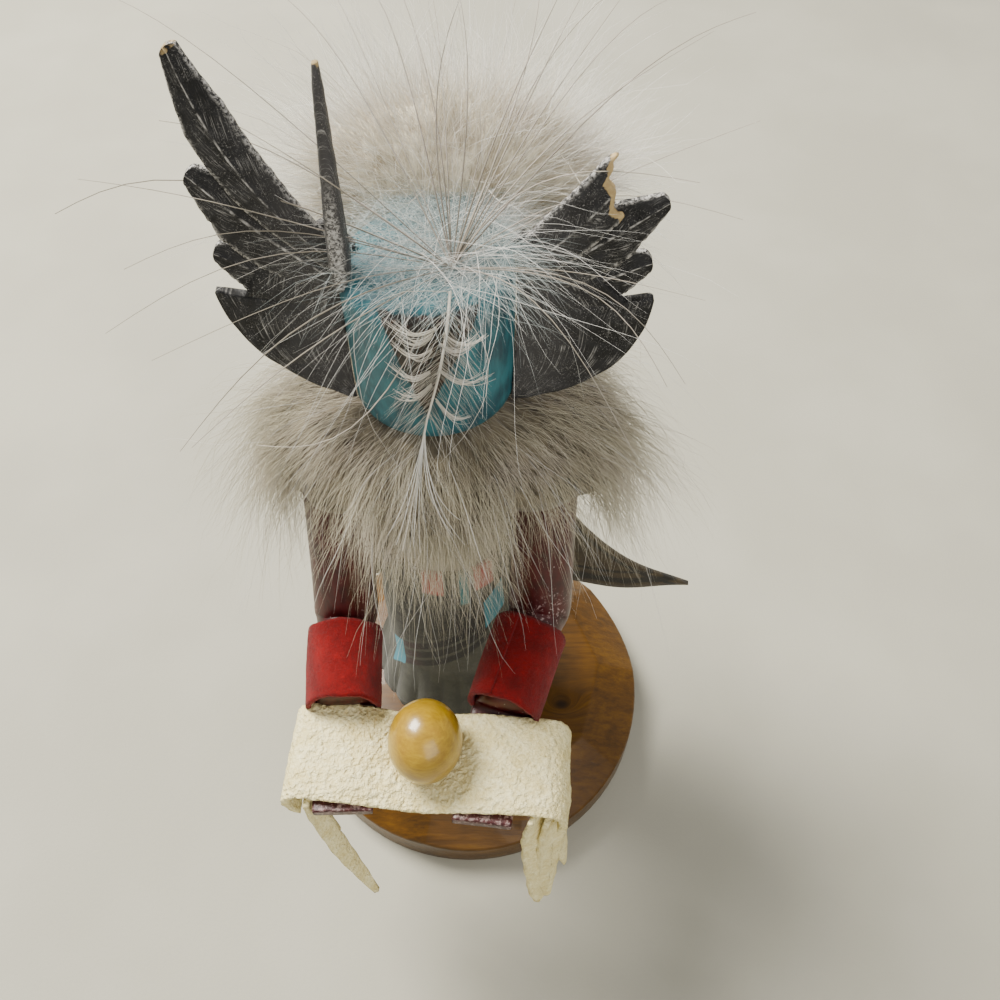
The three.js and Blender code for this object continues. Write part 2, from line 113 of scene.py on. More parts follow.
def plug(tree: bpy.types.NodeTree, node: bpy.types.Node, values: dict) -> None:
    """Link or set a node's inputs; see added()."""
    for key, value in values.items():
        source = value.output if isinstance(value, Socket) else value
        if isinstance(source, Link):
            tree.links.new(source, node.inputs[key])
        else:
            node.inputs[key].default_value = source


class Socket:
    """A shader output that does sums: each operator adds a Math node."""

    def __init__(self, graph: "Graph", output: Link) -> None:
        """Wrap an output of a node in the graph."""
        self.graph = graph
        self.output = output

    def __add__(self, other: object) -> "Socket":
        """Return self + other."""
        return self.graph.math("ADD", self, other)

    __radd__ = __add__

    def __mul__(self, other: object) -> "Socket":
        """Return self * other."""
        return self.graph.math("MULTIPLY", self, other)

    __rmul__ = __mul__

    def __sub__(self, other: object) -> "Socket":
        """Return self - other."""
        return self.graph.math("SUBTRACT", self, other)

    def __rsub__(self, other: object) -> "Socket":
        """Return other - self."""
        return self.graph.math("SUBTRACT", other, self)

    def __abs__(self) -> "Socket":
        """Return the absolute value."""
        return self.graph.math("ABSOLUTE", self)

    def most(self, other: object) -> "Socket":
        """Return the larger of the two."""
        return self.graph.math("MAXIMUM", self, other)

    def least(self, other: object) -> "Socket":
        """Return the smaller of the two."""
        return self.graph.math("MINIMUM", self, other)

    def rise(self, low: float, high: float) -> "Socket":
        """Return 0 below low and 1 above high, eased between; low may be the larger."""
        values = {"Value": self, "From Min": low, "From Max": high}
        node = self.graph.node("ShaderNodeMapRange", {"interpolation_type": "SMOOTHSTEP"}, values)
        return Socket(self.graph, node.outputs[0])

    def near(self, centre: float, outer: float, inner: float) -> "Socket":
        """Return 1 within the inner distance of the centre, and 0 beyond the outer one."""
        return abs(self - centre).rise(outer, inner)


class Graph:
    """The node tree of one material, on Object coordinates in millimetres."""

    def __init__(self, name: str) -> None:
        """Make an empty material with one Principled shader."""
        self.material = bpy.data.materials.new(name)
        self.material.use_nodes = True
        self.tree = self.material.node_tree
        self.shader = self.tree.nodes["Principled BSDF"]
        place = self.node("ShaderNodeTexCoord", {}, {}).outputs["Object"]
        scaled = self.node("ShaderNodeVectorMath", {"operation": "SCALE"}, {0: place, "Scale": 1000.0})
        self.place = scaled.outputs[0]
        split = self.node("ShaderNodeSeparateXYZ", {}, {0: self.place})
        self.x, self.y, self.z = (Socket(self, output) for output in split.outputs)

    def node(self, kind: str, settings: dict, values: dict) -> bpy.types.Node:
        """Add any node; see added()."""
        return added(self.tree, kind, settings, values)

    def math(self, operation: str, first: object, second: object = 0.0) -> Socket:
        """Return the result of one Math node on sockets or numbers."""
        node = self.node("ShaderNodeMath", {"operation": operation}, {0: first, 1: second})
        return Socket(self, node.outputs[0])

    def attribute(self, name: str) -> Socket:
        """Return a number stored on the mesh's points."""
        node = self.node("ShaderNodeAttribute", {"attribute_name": name}, {})
        return Socket(self, node.outputs["Fac"])

    def uv(self) -> tuple[Socket, Socket]:
        """Return the two coordinates of the piece's own map."""
        link = self.node("ShaderNodeUVMap", {"uv_map": UV_NAME}, {}).outputs[0]
        split = self.node("ShaderNodeSeparateXYZ", {}, {0: link})
        return Socket(self, split.outputs[0]), Socket(self, split.outputs[1])

    def vector(self, x: object, y: object, z: object) -> Link:
        """Return a vector made of three numbers or sockets."""
        return self.node("ShaderNodeCombineXYZ", {}, {0: x, 1: y, 2: z}).outputs[0]

    def noise(self, scale: float, detail: float = 3.0, rough: float = 0.55, at: object = None) -> Socket:
        """Return fractal noise from 0 to 1.

        Args:
            scale: Lumps per millimetre, or per unit of `at`.
            detail: The number of finer layers.
            rough: The strength of the finer layers.
            at: The vector that it reads; the place on the object if left out.

        Returns:
            The noise value.
        """
        where = self.place if at is None else at
        values = {"Vector": where, "Scale": scale, "Detail": detail, "Roughness": rough}
        return Socket(self, self.node("ShaderNodeTexNoise", {}, values).outputs[0])

    def cells(self, scale: float) -> Socket:
        """Return the distance to the nearest of scattered points."""
        node = self.node("ShaderNodeTexVoronoi", {}, {"Vector": self.place, "Scale": scale})
        return Socket(self, node.outputs["Distance"])

    def mix(self, share: object, first: object, second: object) -> Link:
        """Mix two colours.

        Args:
            share: The second colour's share.
            first: A colour or a link.
            second: A colour or a link.

        Returns:
            The mixed colour.
        """
        node = self.node("ShaderNodeMix", {"data_type": "RGBA"}, {0: share, 6: first, 7: second})
        return node.outputs[2]

    def ramp(self, share: Socket, stops: Sequence[tuple[float, Color]]) -> Link:
        """Return a colour from a ramp of (place, colour) stops."""
        node = self.node("ShaderNodeValToRGB", {}, {0: share})
        marks = node.color_ramp.elements
        for place, color in stops[1:-1]:
            marks.new(place).color = color
        marks[0].position, marks[0].color = stops[0]
        marks[-1].position, marks[-1].color = stops[-1]
        return node.outputs[0]

    def finish(
        self,
        color: object,
        rough: object,
        height: Socket | None = None,
        depth: float = 0.0,
        **plain: float,
    ) -> bpy.types.Material:
        """Set the shader's sockets.

        Args:
            color: The base colour, a link or a colour.
            rough: The roughness, a socket or a number.
            height: The bump's height from 0 to 1, where there is one.
            depth: The bump's depth in millimetres.
            plain: Other sockets' plain values, with their spaces as underscores.

        Returns:
            The finished material.
        """
        values = {"Base Color": color, "Roughness": rough}
        if height is not None:
            shape = {"Strength": 1.0, "Distance": depth * MM, "Height": height}
            values["Normal"] = self.node("ShaderNodeBump", {}, shape).outputs[0]
        values.update({key.replace("_", " "): value for key, value in plain.items()})
        plug(self.tree, self.shader, values)
        return self.material


# ---- Finishes ---------------------------------------------------------------------------------


@dataclass(frozen=True)
class BaseVarnish:
    """Golden-brown varnished wood with long grain round a knot, darker low on its rim."""

    light: Color = rgb(0.33, 0.21, 0.012)
    dark: Color = rgb(0.17, 0.102, 0.004)
    knot: Pair = (18.5, -7.2)

    def material(self) -> bpy.types.Material:
        """Return the material."""
        g = Graph("base_varnish")
        off_x, off_y = g.x - self.knot[0], g.y - self.knot[1]
        away = g.math("SQRT", off_x * off_x + off_y * off_y * 2.2)
        pull = g.math("EXPONENT", away * -0.32)
        lines = g.vector(g.x * 0.05, g.y * 0.55 + pull * 6.0, g.z * 0.45)
        grain = g.noise(1.6, 6.0, 0.62, lines)
        fine = g.noise(6.0, 4.0, 0.6, lines)
        stain = g.noise(0.07, 3.0)
        tone = grain * 0.6 + fine * 0.2 + stain * 0.55 - 0.2
        color = g.ramp(tone, [(0.25, self.dark), (0.5, self.light), (0.8, rgb(0.46, 0.315, 0.03))])
        color = g.mix(away.rise(1.9, 0.4) * 0.85, color, rgb(0.1, 0.05, 0.01))
        rim = g.noise(0.5, 4.0).rise(0.52, 0.75) * g.z.rise(9.5, 3.0)
        color = g.mix(rim * 0.6, color, rgb(0.18, 0.09, 0.008))
        rough = g.noise(0.9, 3.0) * 0.16 + 0.27
        return g.finish(color, rough, fine * 0.6 + grain, 0.05, Coat_Weight=0.15, Specular_IOR_Level=0.3)


@dataclass(frozen=True)
class HelmetPaint:
    """Turquoise paint, brushed and rubbed, with a black triangle that points down the face."""

    light: Color = rgb(0.15, 0.43, 0.47)
    deep: Color = rgb(0.02, 0.23, 0.28)
    black: Color = rgb(0.09, 0.07, 0.065)
    top: float = 121.8
    apex: float = 106.6

    def material(self) -> bpy.types.Material:
        """Return the material."""
        g = Graph("helmet_paint")
        strokes = g.noise(1.2, 5.0, 0.6, g.vector(g.x * 0.9, g.y * 0.9, g.z * 0.25))
        patches = g.noise(0.22, 3.0)
        color = g.mix((strokes * 0.6 + patches * 0.75).rise(0.45, 0.95), self.deep, self.light)
        wobble = (g.noise(0.8, 3.0) - 0.5) * 0.9
        up = (g.z - self.apex) * (1.0 / (self.top - self.apex))
        side = abs(g.x - (up * 1.2 + FIGURE_X - 0.5) + wobble)
        inside = (up * 5.6 - side).rise(-0.15, 0.2) * (g.z + wobble).rise(self.top + 0.3, self.top - 0.1)
        inside = inside * g.y.rise(-2.0, -4.0)
        rust = g.noise(1.4, 4.0).rise(0.5, 0.68)
        color = g.mix(inside, color, g.mix(rust * 0.55, self.black, rgb(0.3, 0.19, 0.15)))
        worn = (g.noise(2.6, 5.0).rise(0.66, 0.74) * g.z.rise(103.8, 102.1)).least(1.0)
        color = g.mix(worn, color, rgb(0.66, 0.55, 0.4))
        rough = 0.42 + patches * 0.2
        return g.finish(color, rough, strokes, 0.04, Specular_IOR_Level=0.45)


@dataclass(frozen=True)
class ArmPaint:
    """Maroon semi-gloss paint with scuffs and pale specks, most at one elbow and the finger tips."""

    main: Color = rgb(0.28, 0.015, 0.025)
    dark: Color = rgb(0.14, 0.005, 0.01)

    def material(self) -> bpy.types.Material:
        """Return the material."""
        g = Graph("arm_paint")
        brushed = g.noise(1.1, 5.0, 0.6, g.vector(g.x, g.y * 0.35, g.z * 0.35))
        color = g.mix((brushed * 0.7 + g.noise(0.3) * 0.6).rise(0.4, 0.85), self.dark, self.main)
        scuff = g.noise(2.4, 6.0, 0.7).rise(0.63, 0.72) * g.noise(0.35, 2.0).rise(0.5, 0.62)
        color = g.mix(scuff * 0.75, color, rgb(0.74, 0.62, 0.6))
        specks = g.cells(1.5).rise(0.17, 0.1) * g.noise(0.3, 2.0).rise(0.54, 0.62)
        color = g.mix(specks * 0.8, color, rgb(0.82, 0.76, 0.72))
        elbow = (abs(g.x - 13.6) + abs(g.z - 66.0)).rise(6.0, 2.0) * g.y.rise(-8.0, -12.0)
        flecks = g.noise(1.7, 5.0, 0.8).rise(0.56, 0.62) * elbow
        color = g.mix(flecks * 0.75, color, rgb(0.78, 0.68, 0.66))
        tips = g.y.rise(-41.3, -42.2) * g.noise(1.5, 4.0, 0.7).rise(0.5, 0.62)
        color = g.mix(tips * 0.55, color, rgb(0.7, 0.6, 0.58))
        rough = 0.3 + brushed * 0.2 + scuff * 0.25
        return g.finish(color, rough, brushed, 0.06, Specular_IOR_Level=0.5)


@dataclass(frozen=True)
class TrunkPaint:
    """Off-white matt paint over carved wood, with turquoise toes."""

    light: Color = rgb(0.7, 0.68, 0.6)
    dark: Color = rgb(0.5, 0.48, 0.41)

    def material(self) -> bpy.types.Material:
        """Return the material."""
        g = Graph("trunk_paint")
        cut = g.noise(0.8, 5.0, 0.6, g.vector(g.x, g.y, g.z * 0.2))
        color = g.mix((cut * 0.6 + g.noise(0.25) * 0.6).rise(0.38, 0.85), self.dark, self.light)
        toe = (g.z + g.noise(0.9) * 1.2).rise(18.6, 18.0) * g.y.rise(-3.5, -4.2)
        color = g.mix(toe * 0.85, color, rgb(0.2, 0.42, 0.46))
        return g.finish(color, 0.62 + cut * 0.2, cut, 0.07)


@dataclass(frozen=True)
class Suede:
    """Napped suede: soft cloudy colour, short fibres, specks of dirt and paler worn patches."""

    name: str
    light: Color
    dark: Color
    worn: Color
    dirt: float = 0.3
    nap: float = 0.09
    grain: float = 4.2

    def graph(self) -> tuple[Graph, Link, Socket]:
        """Start the material.

        Returns:
            The graph, its colour so far, and the nap's height.
        """
        g = Graph(self.name)
        bend = g.noise(1.4, 2.0) * 2.0
        fibres = g.noise(self.grain, 5.0, 0.75, g.vector(g.x + bend, g.y - bend, g.z + bend))
        cloud = g.noise(0.35, 4.0, 0.6)
        color = g.mix((fibres * 0.65 + cloud * 0.6).rise(0.4, 0.85), self.dark, self.light)
        rubbed = g.noise(0.8, 5.0, 0.65).rise(0.55, 0.75)
        color = g.mix(rubbed * 0.3, color, self.worn)
        specks = g.cells(0.55).rise(0.12, 0.04) * g.noise(0.4, 2.0).rise(0.5, 0.6)
        color = g.mix(specks * self.dirt, color, rgb(0.36, 0.27, 0.17))
        return g, color, fibres * 0.8 + g.noise(1.3, 3.0) * 0.5

    def material(self) -> bpy.types.Material:
        """Return the material."""
        g, color, nap = self.graph()
        return g.finish(color, 0.95, nap, self.nap, Sheen_Weight=0.08, Specular_IOR_Level=0.25)


@dataclass(frozen=True)
class CrumblySuede(Suede):
    """Suede with its rough side out, whose nap stands up in crumbs, with painted shade in the hollows between
    them.
    """

    crumb: float = 1.25

    def material(self) -> bpy.types.Material:
        """Return the material."""
        g, color, nap = self.graph()
        crumbs = g.noise(self.crumb, 2.6, 0.6)
        grains = 1.0 - g.cells(self.crumb * 1.5)
        # Painted shade: the hollows between the crumbs are darkened towards the dark suede colour.
        color = g.mix((crumbs * 0.8 + grains * 0.2).rise(0.56, 0.38) * 0.4, color, self.dark)
        height = crumbs * 1.5 + grains * 0.4 + nap * 0.1
        return g.finish(color, 0.97, height, self.nap, Specular_IOR_Level=0.2)


@dataclass(frozen=True)
class PaintedDress(Suede):
    """The dress's suede, painted by degrees round the trunk, 0 at the front and left positive.

    A striped sash rises to the figure's left between turquoise ends. An olive woven band on the front, dark
    partly as painted shadow of the ruff, a stepped block, coral blocks and a turquoise jewel lie above it.
    """

    sash_height: float = 46.5
    sash_slope: float = 0.163
    sash_half: float = 5.0
    stripes: float = 1.95
    block_height: float = 54.5
    coral_from: float = 63.4
    jewel_from: float = 60.4

    def material(self) -> bpy.types.Material:
        """Return the material."""
        g, color, nap = self.graph()
        turn = g.math("ARCTAN2", g.x - FIGURE_X, g.y * -1.0) * (180.0 / math.pi)
        wobble = (g.noise(0.9, 3.0) - 0.5) * 1.3
        height = g.z - (turn * self.sash_slope + self.sash_height) + wobble * 0.5
        pleats = g.math("SINE", turn * 0.5 + wobble)
        # Painted shade: dark lines along the pleats below the sash, as shade in their folds.
        color = g.mix(g.z.rise(37.0, 34.0) * pleats.rise(0.3, 0.95) * 0.4, color, self.dark)
        # Olive band on the front under the ruff: its dark colour is partly painted shadow of the ruff.
        olive = height.rise(self.sash_half, self.sash_half + 0.6) * g.z.rise(66.0, 63.0)
        lines = g.math("SINE", g.z * 2.6 - turn * 0.2).rise(0.2, 0.8)
        shaded_cloth = g.mix(lines, rgb(0.15, 0.15, 0.11), rgb(0.055, 0.055, 0.042))
        color = g.mix(olive * turn.near(-8.0, 46.0, 40.0) * 0.8, color, shaded_cloth)
        stripe = g.math("SINE", height * self.stripes + 1.2).rise(-0.75, -0.45)
        stripe = stripe * turn.near(-7.0, 40.0, 38.5) * height.near(0.0, self.sash_half, self.sash_half - 0.3)
        ink = g.mix(turn.rise(-36.0, -20.0), rgb(0.15, 0.028, 0.038), rgb(0.02, 0.018, 0.02))
        color = g.mix(stripe, color, ink)
        block = turn.near(16.0, 12.0, 11.0) * g.z.near(self.block_height, 3.8, 3.3)
        block = block * g.math("SINE", turn * 0.55 + g.math("SNAP", g.z, 2.0)).rise(-0.6, -0.3)
        color = g.mix(block, color, rgb(0.08, 0.07, 0.07))
        end_right = turn.near(-53.0, 7.6, 6.8) * height.near(0.0, 4.6, 4.2)
        end_left = turn.near(41.0, 11.0, 10.0) * height.near(4.0, 4.2, 3.7)
        color = g.mix(end_right.most(end_left), color, rgb(0.22, 0.54, 0.62))
        coral = turn.near(-11.0, 9.5, 8.5).most(turn.near(33.0, 9.5, 8.5))
        coral = coral * g.z.rise(self.coral_from, self.coral_from + 0.8)
        color = g.mix(coral * 0.85, color, rgb(0.72, 0.38, 0.34))
        jewel = turn.near(15.0, 4.2, 3.4) * g.z.rise(self.jewel_from, self.jewel_from + 0.8)
        color = g.mix(jewel, color, rgb(0.2, 0.45, 0.46))
        return g.finish(color, 0.9, nap, self.nap, Sheen_Weight=0.15, Sheen_Roughness=0.6)


@dataclass(frozen=True)
class BorderedCape(Suede):
    """The cape's stiff suede with a dark olive line along its hem and side edges."""

    def material(self) -> bpy.types.Material:
        """Return the material."""
        g, color, nap = self.graph()
        across, down = g.uv()
        wobble = (g.noise(0.5, 3.0) - 0.5) * 0.02
        line = abs(down - 0.955 + wobble).rise(0.022, 0.012)
        line = line.most(abs(down - 0.905 + wobble).rise(0.01, 0.004))
        line = line.most(abs(abs(across - 0.5) - 0.475 + wobble).rise(0.014, 0.006))
        color = g.mix(line * g.noise(1.5, 3.0).rise(0.2, 0.4) * 0.85, color, rgb(0.08, 0.08, 0.05))
        return g.finish(color, 0.85, nap, self.nap, Sheen_Weight=0.1, Sheen_Roughness=0.6)


@dataclass(frozen=True)
class BallVarnish:
    """Yellow turned wood under clear gloss varnish, its grain in fine lines across it, with painted shade on
    its underside.
    """

    def material(self) -> bpy.types.Material:
        """Return the material."""
        g = Graph("ball_varnish")
        rings = g.noise(2.4, 5.0, 0.6, g.vector(g.x * 0.25, g.y * 0.5, g.z * 1.3))
        pores = g.noise(7.0, 3.0, 0.6, g.vector(g.x * 0.3, g.y, g.z))
        color = g.ramp(rings * 0.75 + pores * 0.25, [
            (0.25, rgb(0.5, 0.38, 0.035)), (0.5, rgb(0.6, 0.47, 0.055)), (0.8, rgb(0.7, 0.58, 0.11)),
        ])
        color = g.mix(g.noise(0.35, 3.0).rise(0.5, 0.8) * 0.3, color, rgb(0.58, 0.39, 0.16))
        # Painted shade: the ball's underside is darkened.
        color = g.mix(g.z.rise(61.5, 59.0) * 0.5, color, rgb(0.42, 0.27, 0.1))
        return g.finish(color, 0.26 + pores * 0.12, rings, 0.02, Coat_Weight=0.6, Coat_Roughness=0.12)


@dataclass(frozen=True)
class WingPaint:
    """Charcoal paint dry-brushed with white along barbs and quills; bare wood where it broke; painted shade
    in the slits between feathers.
    """

    charcoal: Color = rgb(0.12, 0.12, 0.13)
    black: Color = rgb(0.022, 0.022, 0.026)
    white: Color = rgb(0.8, 0.79, 0.77)

    def material(self) -> bpy.types.Material:
        """Return the material."""
        g = Graph("wing_paint")
        across, along = g.uv()
        slant = along * 26.0 - abs(across) * 9.0
        barbs = g.noise(1.0, 3.0, 0.7, g.vector(slant * 3.2, across * 2.4, 0.0))
        color = g.mix(g.noise(0.5, 4.0).rise(0.35, 0.7), self.black, self.charcoal)
        brush = barbs.rise(0.53, 0.66) * g.noise(0.45, 4.0, 0.6).rise(0.4, 0.66)
        dots = g.noise(4.5, 4.0, 0.85).rise(0.56, 0.66) * g.noise(0.4, 3.0).rise(0.36, 0.6)
        inner = abs(g.x - FIGURE_X).rise(21.0, 11.0) * 0.3
        color = g.mix(inner, color, rgb(0.4, 0.39, 0.39))
        quill = abs(across).rise(0.06, 0.01) * g.noise(1.1, 4.0).rise(0.36, 0.66) * g.attribute("quill")
        edge = abs(across).rise(0.8, 1.0) * g.noise(2.4, 5.0, 0.8).rise(0.46, 0.56)
        marks = (brush * 0.62).most(dots * 0.7).most(quill * 0.9).most(edge * 0.8)
        color = g.mix(marks, color, self.white)
        # Painted shade: near-black in the slits between the feathers.
        color = g.mix(g.attribute("slit_shade"), color, rgb(0.02, 0.02, 0.02))
        wood = g.noise(2.0, 4.0, 0.6, g.vector(g.x * 0.5, g.y * 3.0, g.z * 0.5))
        bare = (g.attribute("bare") + (g.noise(1.8, 4.0) - 0.5) * 0.7).rise(0.42, 0.6)
        color = g.mix(bare, color, g.mix(wood, rgb(0.6, 0.48, 0.3), rgb(0.82, 0.73, 0.53)))
        return g.finish(color, 0.5 + barbs * 0.25, barbs * 0.7 + dots * 0.4, 0.12, Specular_IOR_Level=0.4)


@dataclass(frozen=True)
class HairSheen:
    """Soft hair that reads its tone and its place from root to tip from the strand; darker towards the root
    as painted shade deep in the hair.
    """

    name: str
    root: Color
    tip: Color
    clear: float = 1.0

    def material(self) -> bpy.types.Material:
        """Return the material."""
        g = Graph(self.name)
        tone, along = g.attribute("tone"), g.attribute("along")
        # Painted shade: the colour runs from the darker root colour to the tip colour along each hair.
        color = g.mix((along * 0.75 + tone * 0.4).rise(0.0, 1.0), self.root, self.tip)
        color = g.mix(g.noise(0.12, 3.0).rise(0.45, 0.75) * 0.3, color, rgb(0.86, 0.8, 0.78))
        return g.finish(color, 0.55, Alpha=self.clear, Sheen_Weight=0.2, Specular_IOR_Level=0.35)


@dataclass(frozen=True)
class FurCoreShade:
    """The matted under-hair that closes the fur below its strands, coloured as painted shade deep in the fur.
    """

    name: str
    light: Color
    dark: Color

    def material(self) -> bpy.types.Material:
        """Return the material."""
        g = Graph(self.name)
        around = g.math("ARCTAN2", g.y, g.x - FIGURE_X)
        lines = g.noise(1.0, 4.0, 0.7, g.vector(around * 26.0, g.z * 0.35, 0.0))
        tufts = g.noise(0.3, 4.0, 0.6)
        color = g.mix((lines * 0.6 + tufts * 0.6).rise(0.4, 0.8), self.dark, self.light)
        return g.finish(color, 0.95, lines * 0.7 + tufts, 0.5, Sheen_Weight=0.3, Sheen_Roughness=0.5)


@dataclass(frozen=True)
class ClearGlue:
    """Yellowish clear glue, glossy."""

    def material(self) -> bpy.types.Material:
        """Return the material."""
        g = Graph("clear_glue")
        color = g.mix(g.noise(1.5), rgb(0.7, 0.57, 0.33), rgb(0.5, 0.37, 0.18))
        return g.finish(color, 0.12, g.noise(1.2), 0.05, Coat_Weight=0.5, Coat_Roughness=0.05)


class Finish(Enum):
    """The finishes of this doll's pieces."""

    BASE = BaseVarnish()
    HELMET = HelmetPaint()
    ARM = ArmPaint()
    TRUNK = TrunkPaint()
    # The dress's suede colours are set dark: painted shade of the ruff and arms over the pale suede.
    DRESS = PaintedDress(
        "shaded_dress_suede", rgb(0.27, 0.275, 0.225), rgb(0.16, 0.16, 0.125), rgb(0.34, 0.335, 0.28), dirt=0.2,
    )
    STRIP = CrumblySuede(
        "white_suede", rgb(1.0, 0.97, 0.78), rgb(0.86, 0.79, 0.54), rgb(1.0, 0.99, 0.86),
        dirt=0.8, nap=0.5, grain=2.4,
    )
    CUFF = Suede(
        "red_suede", rgb(0.52, 0.004, 0.003), rgb(0.34, 0.002, 0.002), rgb(0.62, 0.02, 0.012),
        dirt=0.0, nap=0.3, grain=2.6,
    )
    CAPE = BorderedCape("cape_suede", rgb(0.29, 0.245, 0.155), rgb(0.2, 0.16, 0.095), rgb(0.4, 0.35, 0.25))
    BALL = BallVarnish()
    WING = WingPaint()
    # The ruff hair's colours are set darker than the cream fur, partly as painted shade under the head.
    FUR = HairSheen("shaded_fur_hair", rgb(0.47, 0.43, 0.345), rgb(0.82, 0.79, 0.69))
    PUFF = HairSheen("puff_hair", rgb(0.84, 0.79, 0.69), rgb(1.0, 1.0, 0.97))
    DOWN = HairSheen("down_hair", rgb(0.78, 0.77, 0.74), rgb(0.95, 0.95, 0.93))
    QUILL = HairSheen("quill_hair", rgb(0.44, 0.41, 0.36), rgb(0.66, 0.63, 0.57))
    MIST = HairSheen("mist_hair", rgb(0.66, 0.76, 0.77), rgb(0.9, 0.93, 0.92), clear=0.34)
    PLUME = HairSheen("plume_hair", rgb(0.7, 0.68, 0.62), rgb(0.93, 0.91, 0.86), clear=0.85)
    # The cores' colours are painted shade: fur and down as they look deep in shadow.
    RUFF_CORE_SHADE = FurCoreShade("ruff_core_shade", rgb(0.5, 0.46, 0.37), rgb(0.2, 0.17, 0.13))
    PUFF_CORE_SHADE = FurCoreShade("puff_core_shade", rgb(0.94, 0.91, 0.82), rgb(0.62, 0.56, 0.46))
    GLUE = ClearGlue()


MADE: dict[Finish, bpy.types.Material] = {}


def dressed(finish: Finish) -> bpy.types.Material:
    """Return the finish's material, made once."""
    if finish not in MADE:
        MADE[finish] = finish.value.material()
    return MADE[finish]


# ---- Meshes -----------------------------------------------------------------------------------


@dataclass
class Shell:
    """Vertices in millimetres with faces, a map and numbers on the points."""

    points: Array
    faces: list[tuple[int, ...]]
    uv: Array | None = None
    marks: dict[str, Array] = field(default_factory=dict)

    def joined(self, other: "Shell") -> "Shell":
        """Return both shells as one; both have the same kinds of marks."""
        start = len(self.points)
        faces = self.faces + [tuple(i + start for i in face) for face in other.faces]
        uv = None if self.uv is None else np.vstack([self.uv, other.uv])
        marks = {key: np.concatenate([self.marks[key], other.marks[key]]) for key in self.marks}
        return Shell(np.vstack([self.points, other.points]), faces, uv, marks)

    def moved(self, x: float, y: float = 0.0, z: float = 0.0) -> "Shell":
        """Return the shell shifted."""
        return Shell(self.points + np.array([x, y, z]), self.faces, self.uv, self.marks)


def build(
    name: str, shell: Shell, finish: Finish, stands_for: Sequence[str] = (),
) -> bpy.types.Object:
    """Make a shell into a finished piece of the doll.

    Args:
        name: The piece's name.
        shell: Its mesh in millimetres, in the row frame.
        finish: Its finish.
        stands_for: The CAD nodes that it replaces.

    Returns:
        The object, at the origin.
    """
    mesh = bpy.data.meshes.new(name)
    mesh.from_pydata((shell.points * MM).tolist(), [], shell.faces)
    if shell.uv is not None:
        layer = mesh.uv_layers.new(name=UV_NAME)
        corners = np.zeros(len(mesh.loops), np.int32)
        mesh.loops.foreach_get("vertex_index", corners)
        layer.data.foreach_set("uv", shell.uv[corners].astype(np.float32).ravel())
    for key, values in shell.marks.items():
        mesh.attributes.new(key, "FLOAT", "POINT").data.foreach_set("value", values.astype(np.float32))
    outward = bmesh.new()
    outward.from_mesh(mesh)
    bmesh.ops.recalc_face_normals(outward, faces=outward.faces)
    outward.to_mesh(mesh)
    outward.free()
    mesh.shade_smooth()
    return placed(name, mesh, finish, stands_for)


def placed(
    name: str, mesh: bpy.types.Mesh, finish: Finish, stands_for: Sequence[str],
) -> bpy.types.Object:
    """Link a finished mesh as a piece that rides on the doll; see build()."""
    piece = bpy.data.objects.new(name, mesh)
    mesh.materials.clear()
    mesh.materials.append(dressed(finish))
    bpy.context.scene.collection.objects.link(piece)
    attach(piece, "root")
    if stands_for:
        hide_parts(*stands_for)
    LOG.info("%s: %d faces, for %s", name, len(mesh.polygons), ", ".join(stands_for) or "no node")
    return piece


def lumps(points: Array, size: float, seed: float) -> Array:
    """Return smooth noise from -1 to 1 at each point.

    Args:
        points: Places in millimetres.
        size: The lumps' size in millimetres.
        seed: Shifts the pattern.

    Returns:
        One number for each point.
    """
    shift = Vector((seed, seed * 0.7, -seed))
    return np.array([noise.noise(Vector(p) / size + shift) for p in points.tolist()])


def smooth_path(stations: Array, t: Array) -> Array:
    """Interpolate rows of numbers smoothly.

    Args:
        stations: The rows, evenly spaced in t.
        t: Places from 0 to 1.

    Returns:
        One interpolated row for each t.
    """
    rows = np.asarray(stations, float)
    ends = np.vstack([2 * rows[0] - rows[1], rows, 2 * rows[-1] - rows[-2]])
    place = np.clip(t, 0, 1) * (len(rows) - 1)
    i = np.minimum(place.astype(int), len(rows) - 2)
    f = (place - i)[:, None]
    a, b, c, d = ends[i], ends[i + 1], ends[i + 2], ends[i + 3]
    square, cube = 2 * a - 5 * b + 4 * c - d, 3 * b - a - 3 * c + d
    return 0.5 * (2 * b + (c - a) * f + square * f**2 + cube * f**3)


def unit(vectors: Array) -> Array:
    """Return vectors of length one."""
    return vectors / np.maximum(np.linalg.norm(vectors, axis=-1, keepdims=True), 1e-9)


def tube_faces(rings: int, sides: int) -> list[tuple[int, ...]]:
    """Return a tube's faces.

    Args:
        rings: The number of rings of points, one after another.
        sides: The points of each ring.

    Returns:
        Quads between the rings, and fans to the two points that follow them, which close the ends.
    """
    faces = []
    for i in range(rings - 1):
        for j in range(sides):
            k = (j + 1) % sides
            faces.append((i * sides + j, i * sides + k, (i + 1) * sides + k, (i + 1) * sides + j))
    for j in range(sides):
        k = (j + 1) % sides
        faces.append((rings * sides, k, j))
        faces.append((rings * sides + 1, (rings - 1) * sides + j, (rings - 1) * sides + k))
    return faces


def plate_faces(rows: int, columns: int, border: list[tuple[int, int]], ring: bool = False) -> list:
    """Return the faces of a plate, whose two sides are grids of points, one after the other.

    Args:
        rows: The rows of each grid.
        columns: The columns of each grid.
        border: The first side's edges that the rim stands on.
        ring: Whether the last row joins the first.

    Returns:
        Quads on both sides, and on the rim between them.
    """
    count = rows * columns
    faces = []
    for i in range(rows if ring else rows - 1):
        for j in range(columns - 1):
            a, b = i * columns + j, (i + 1) % rows * columns + j
            faces.append((a, b, b + 1, a + 1))
            faces.append((a + count, a + 1 + count, b + 1 + count, b + count))
    return faces + [(a, b, b + count, a + count) for a, b in border]


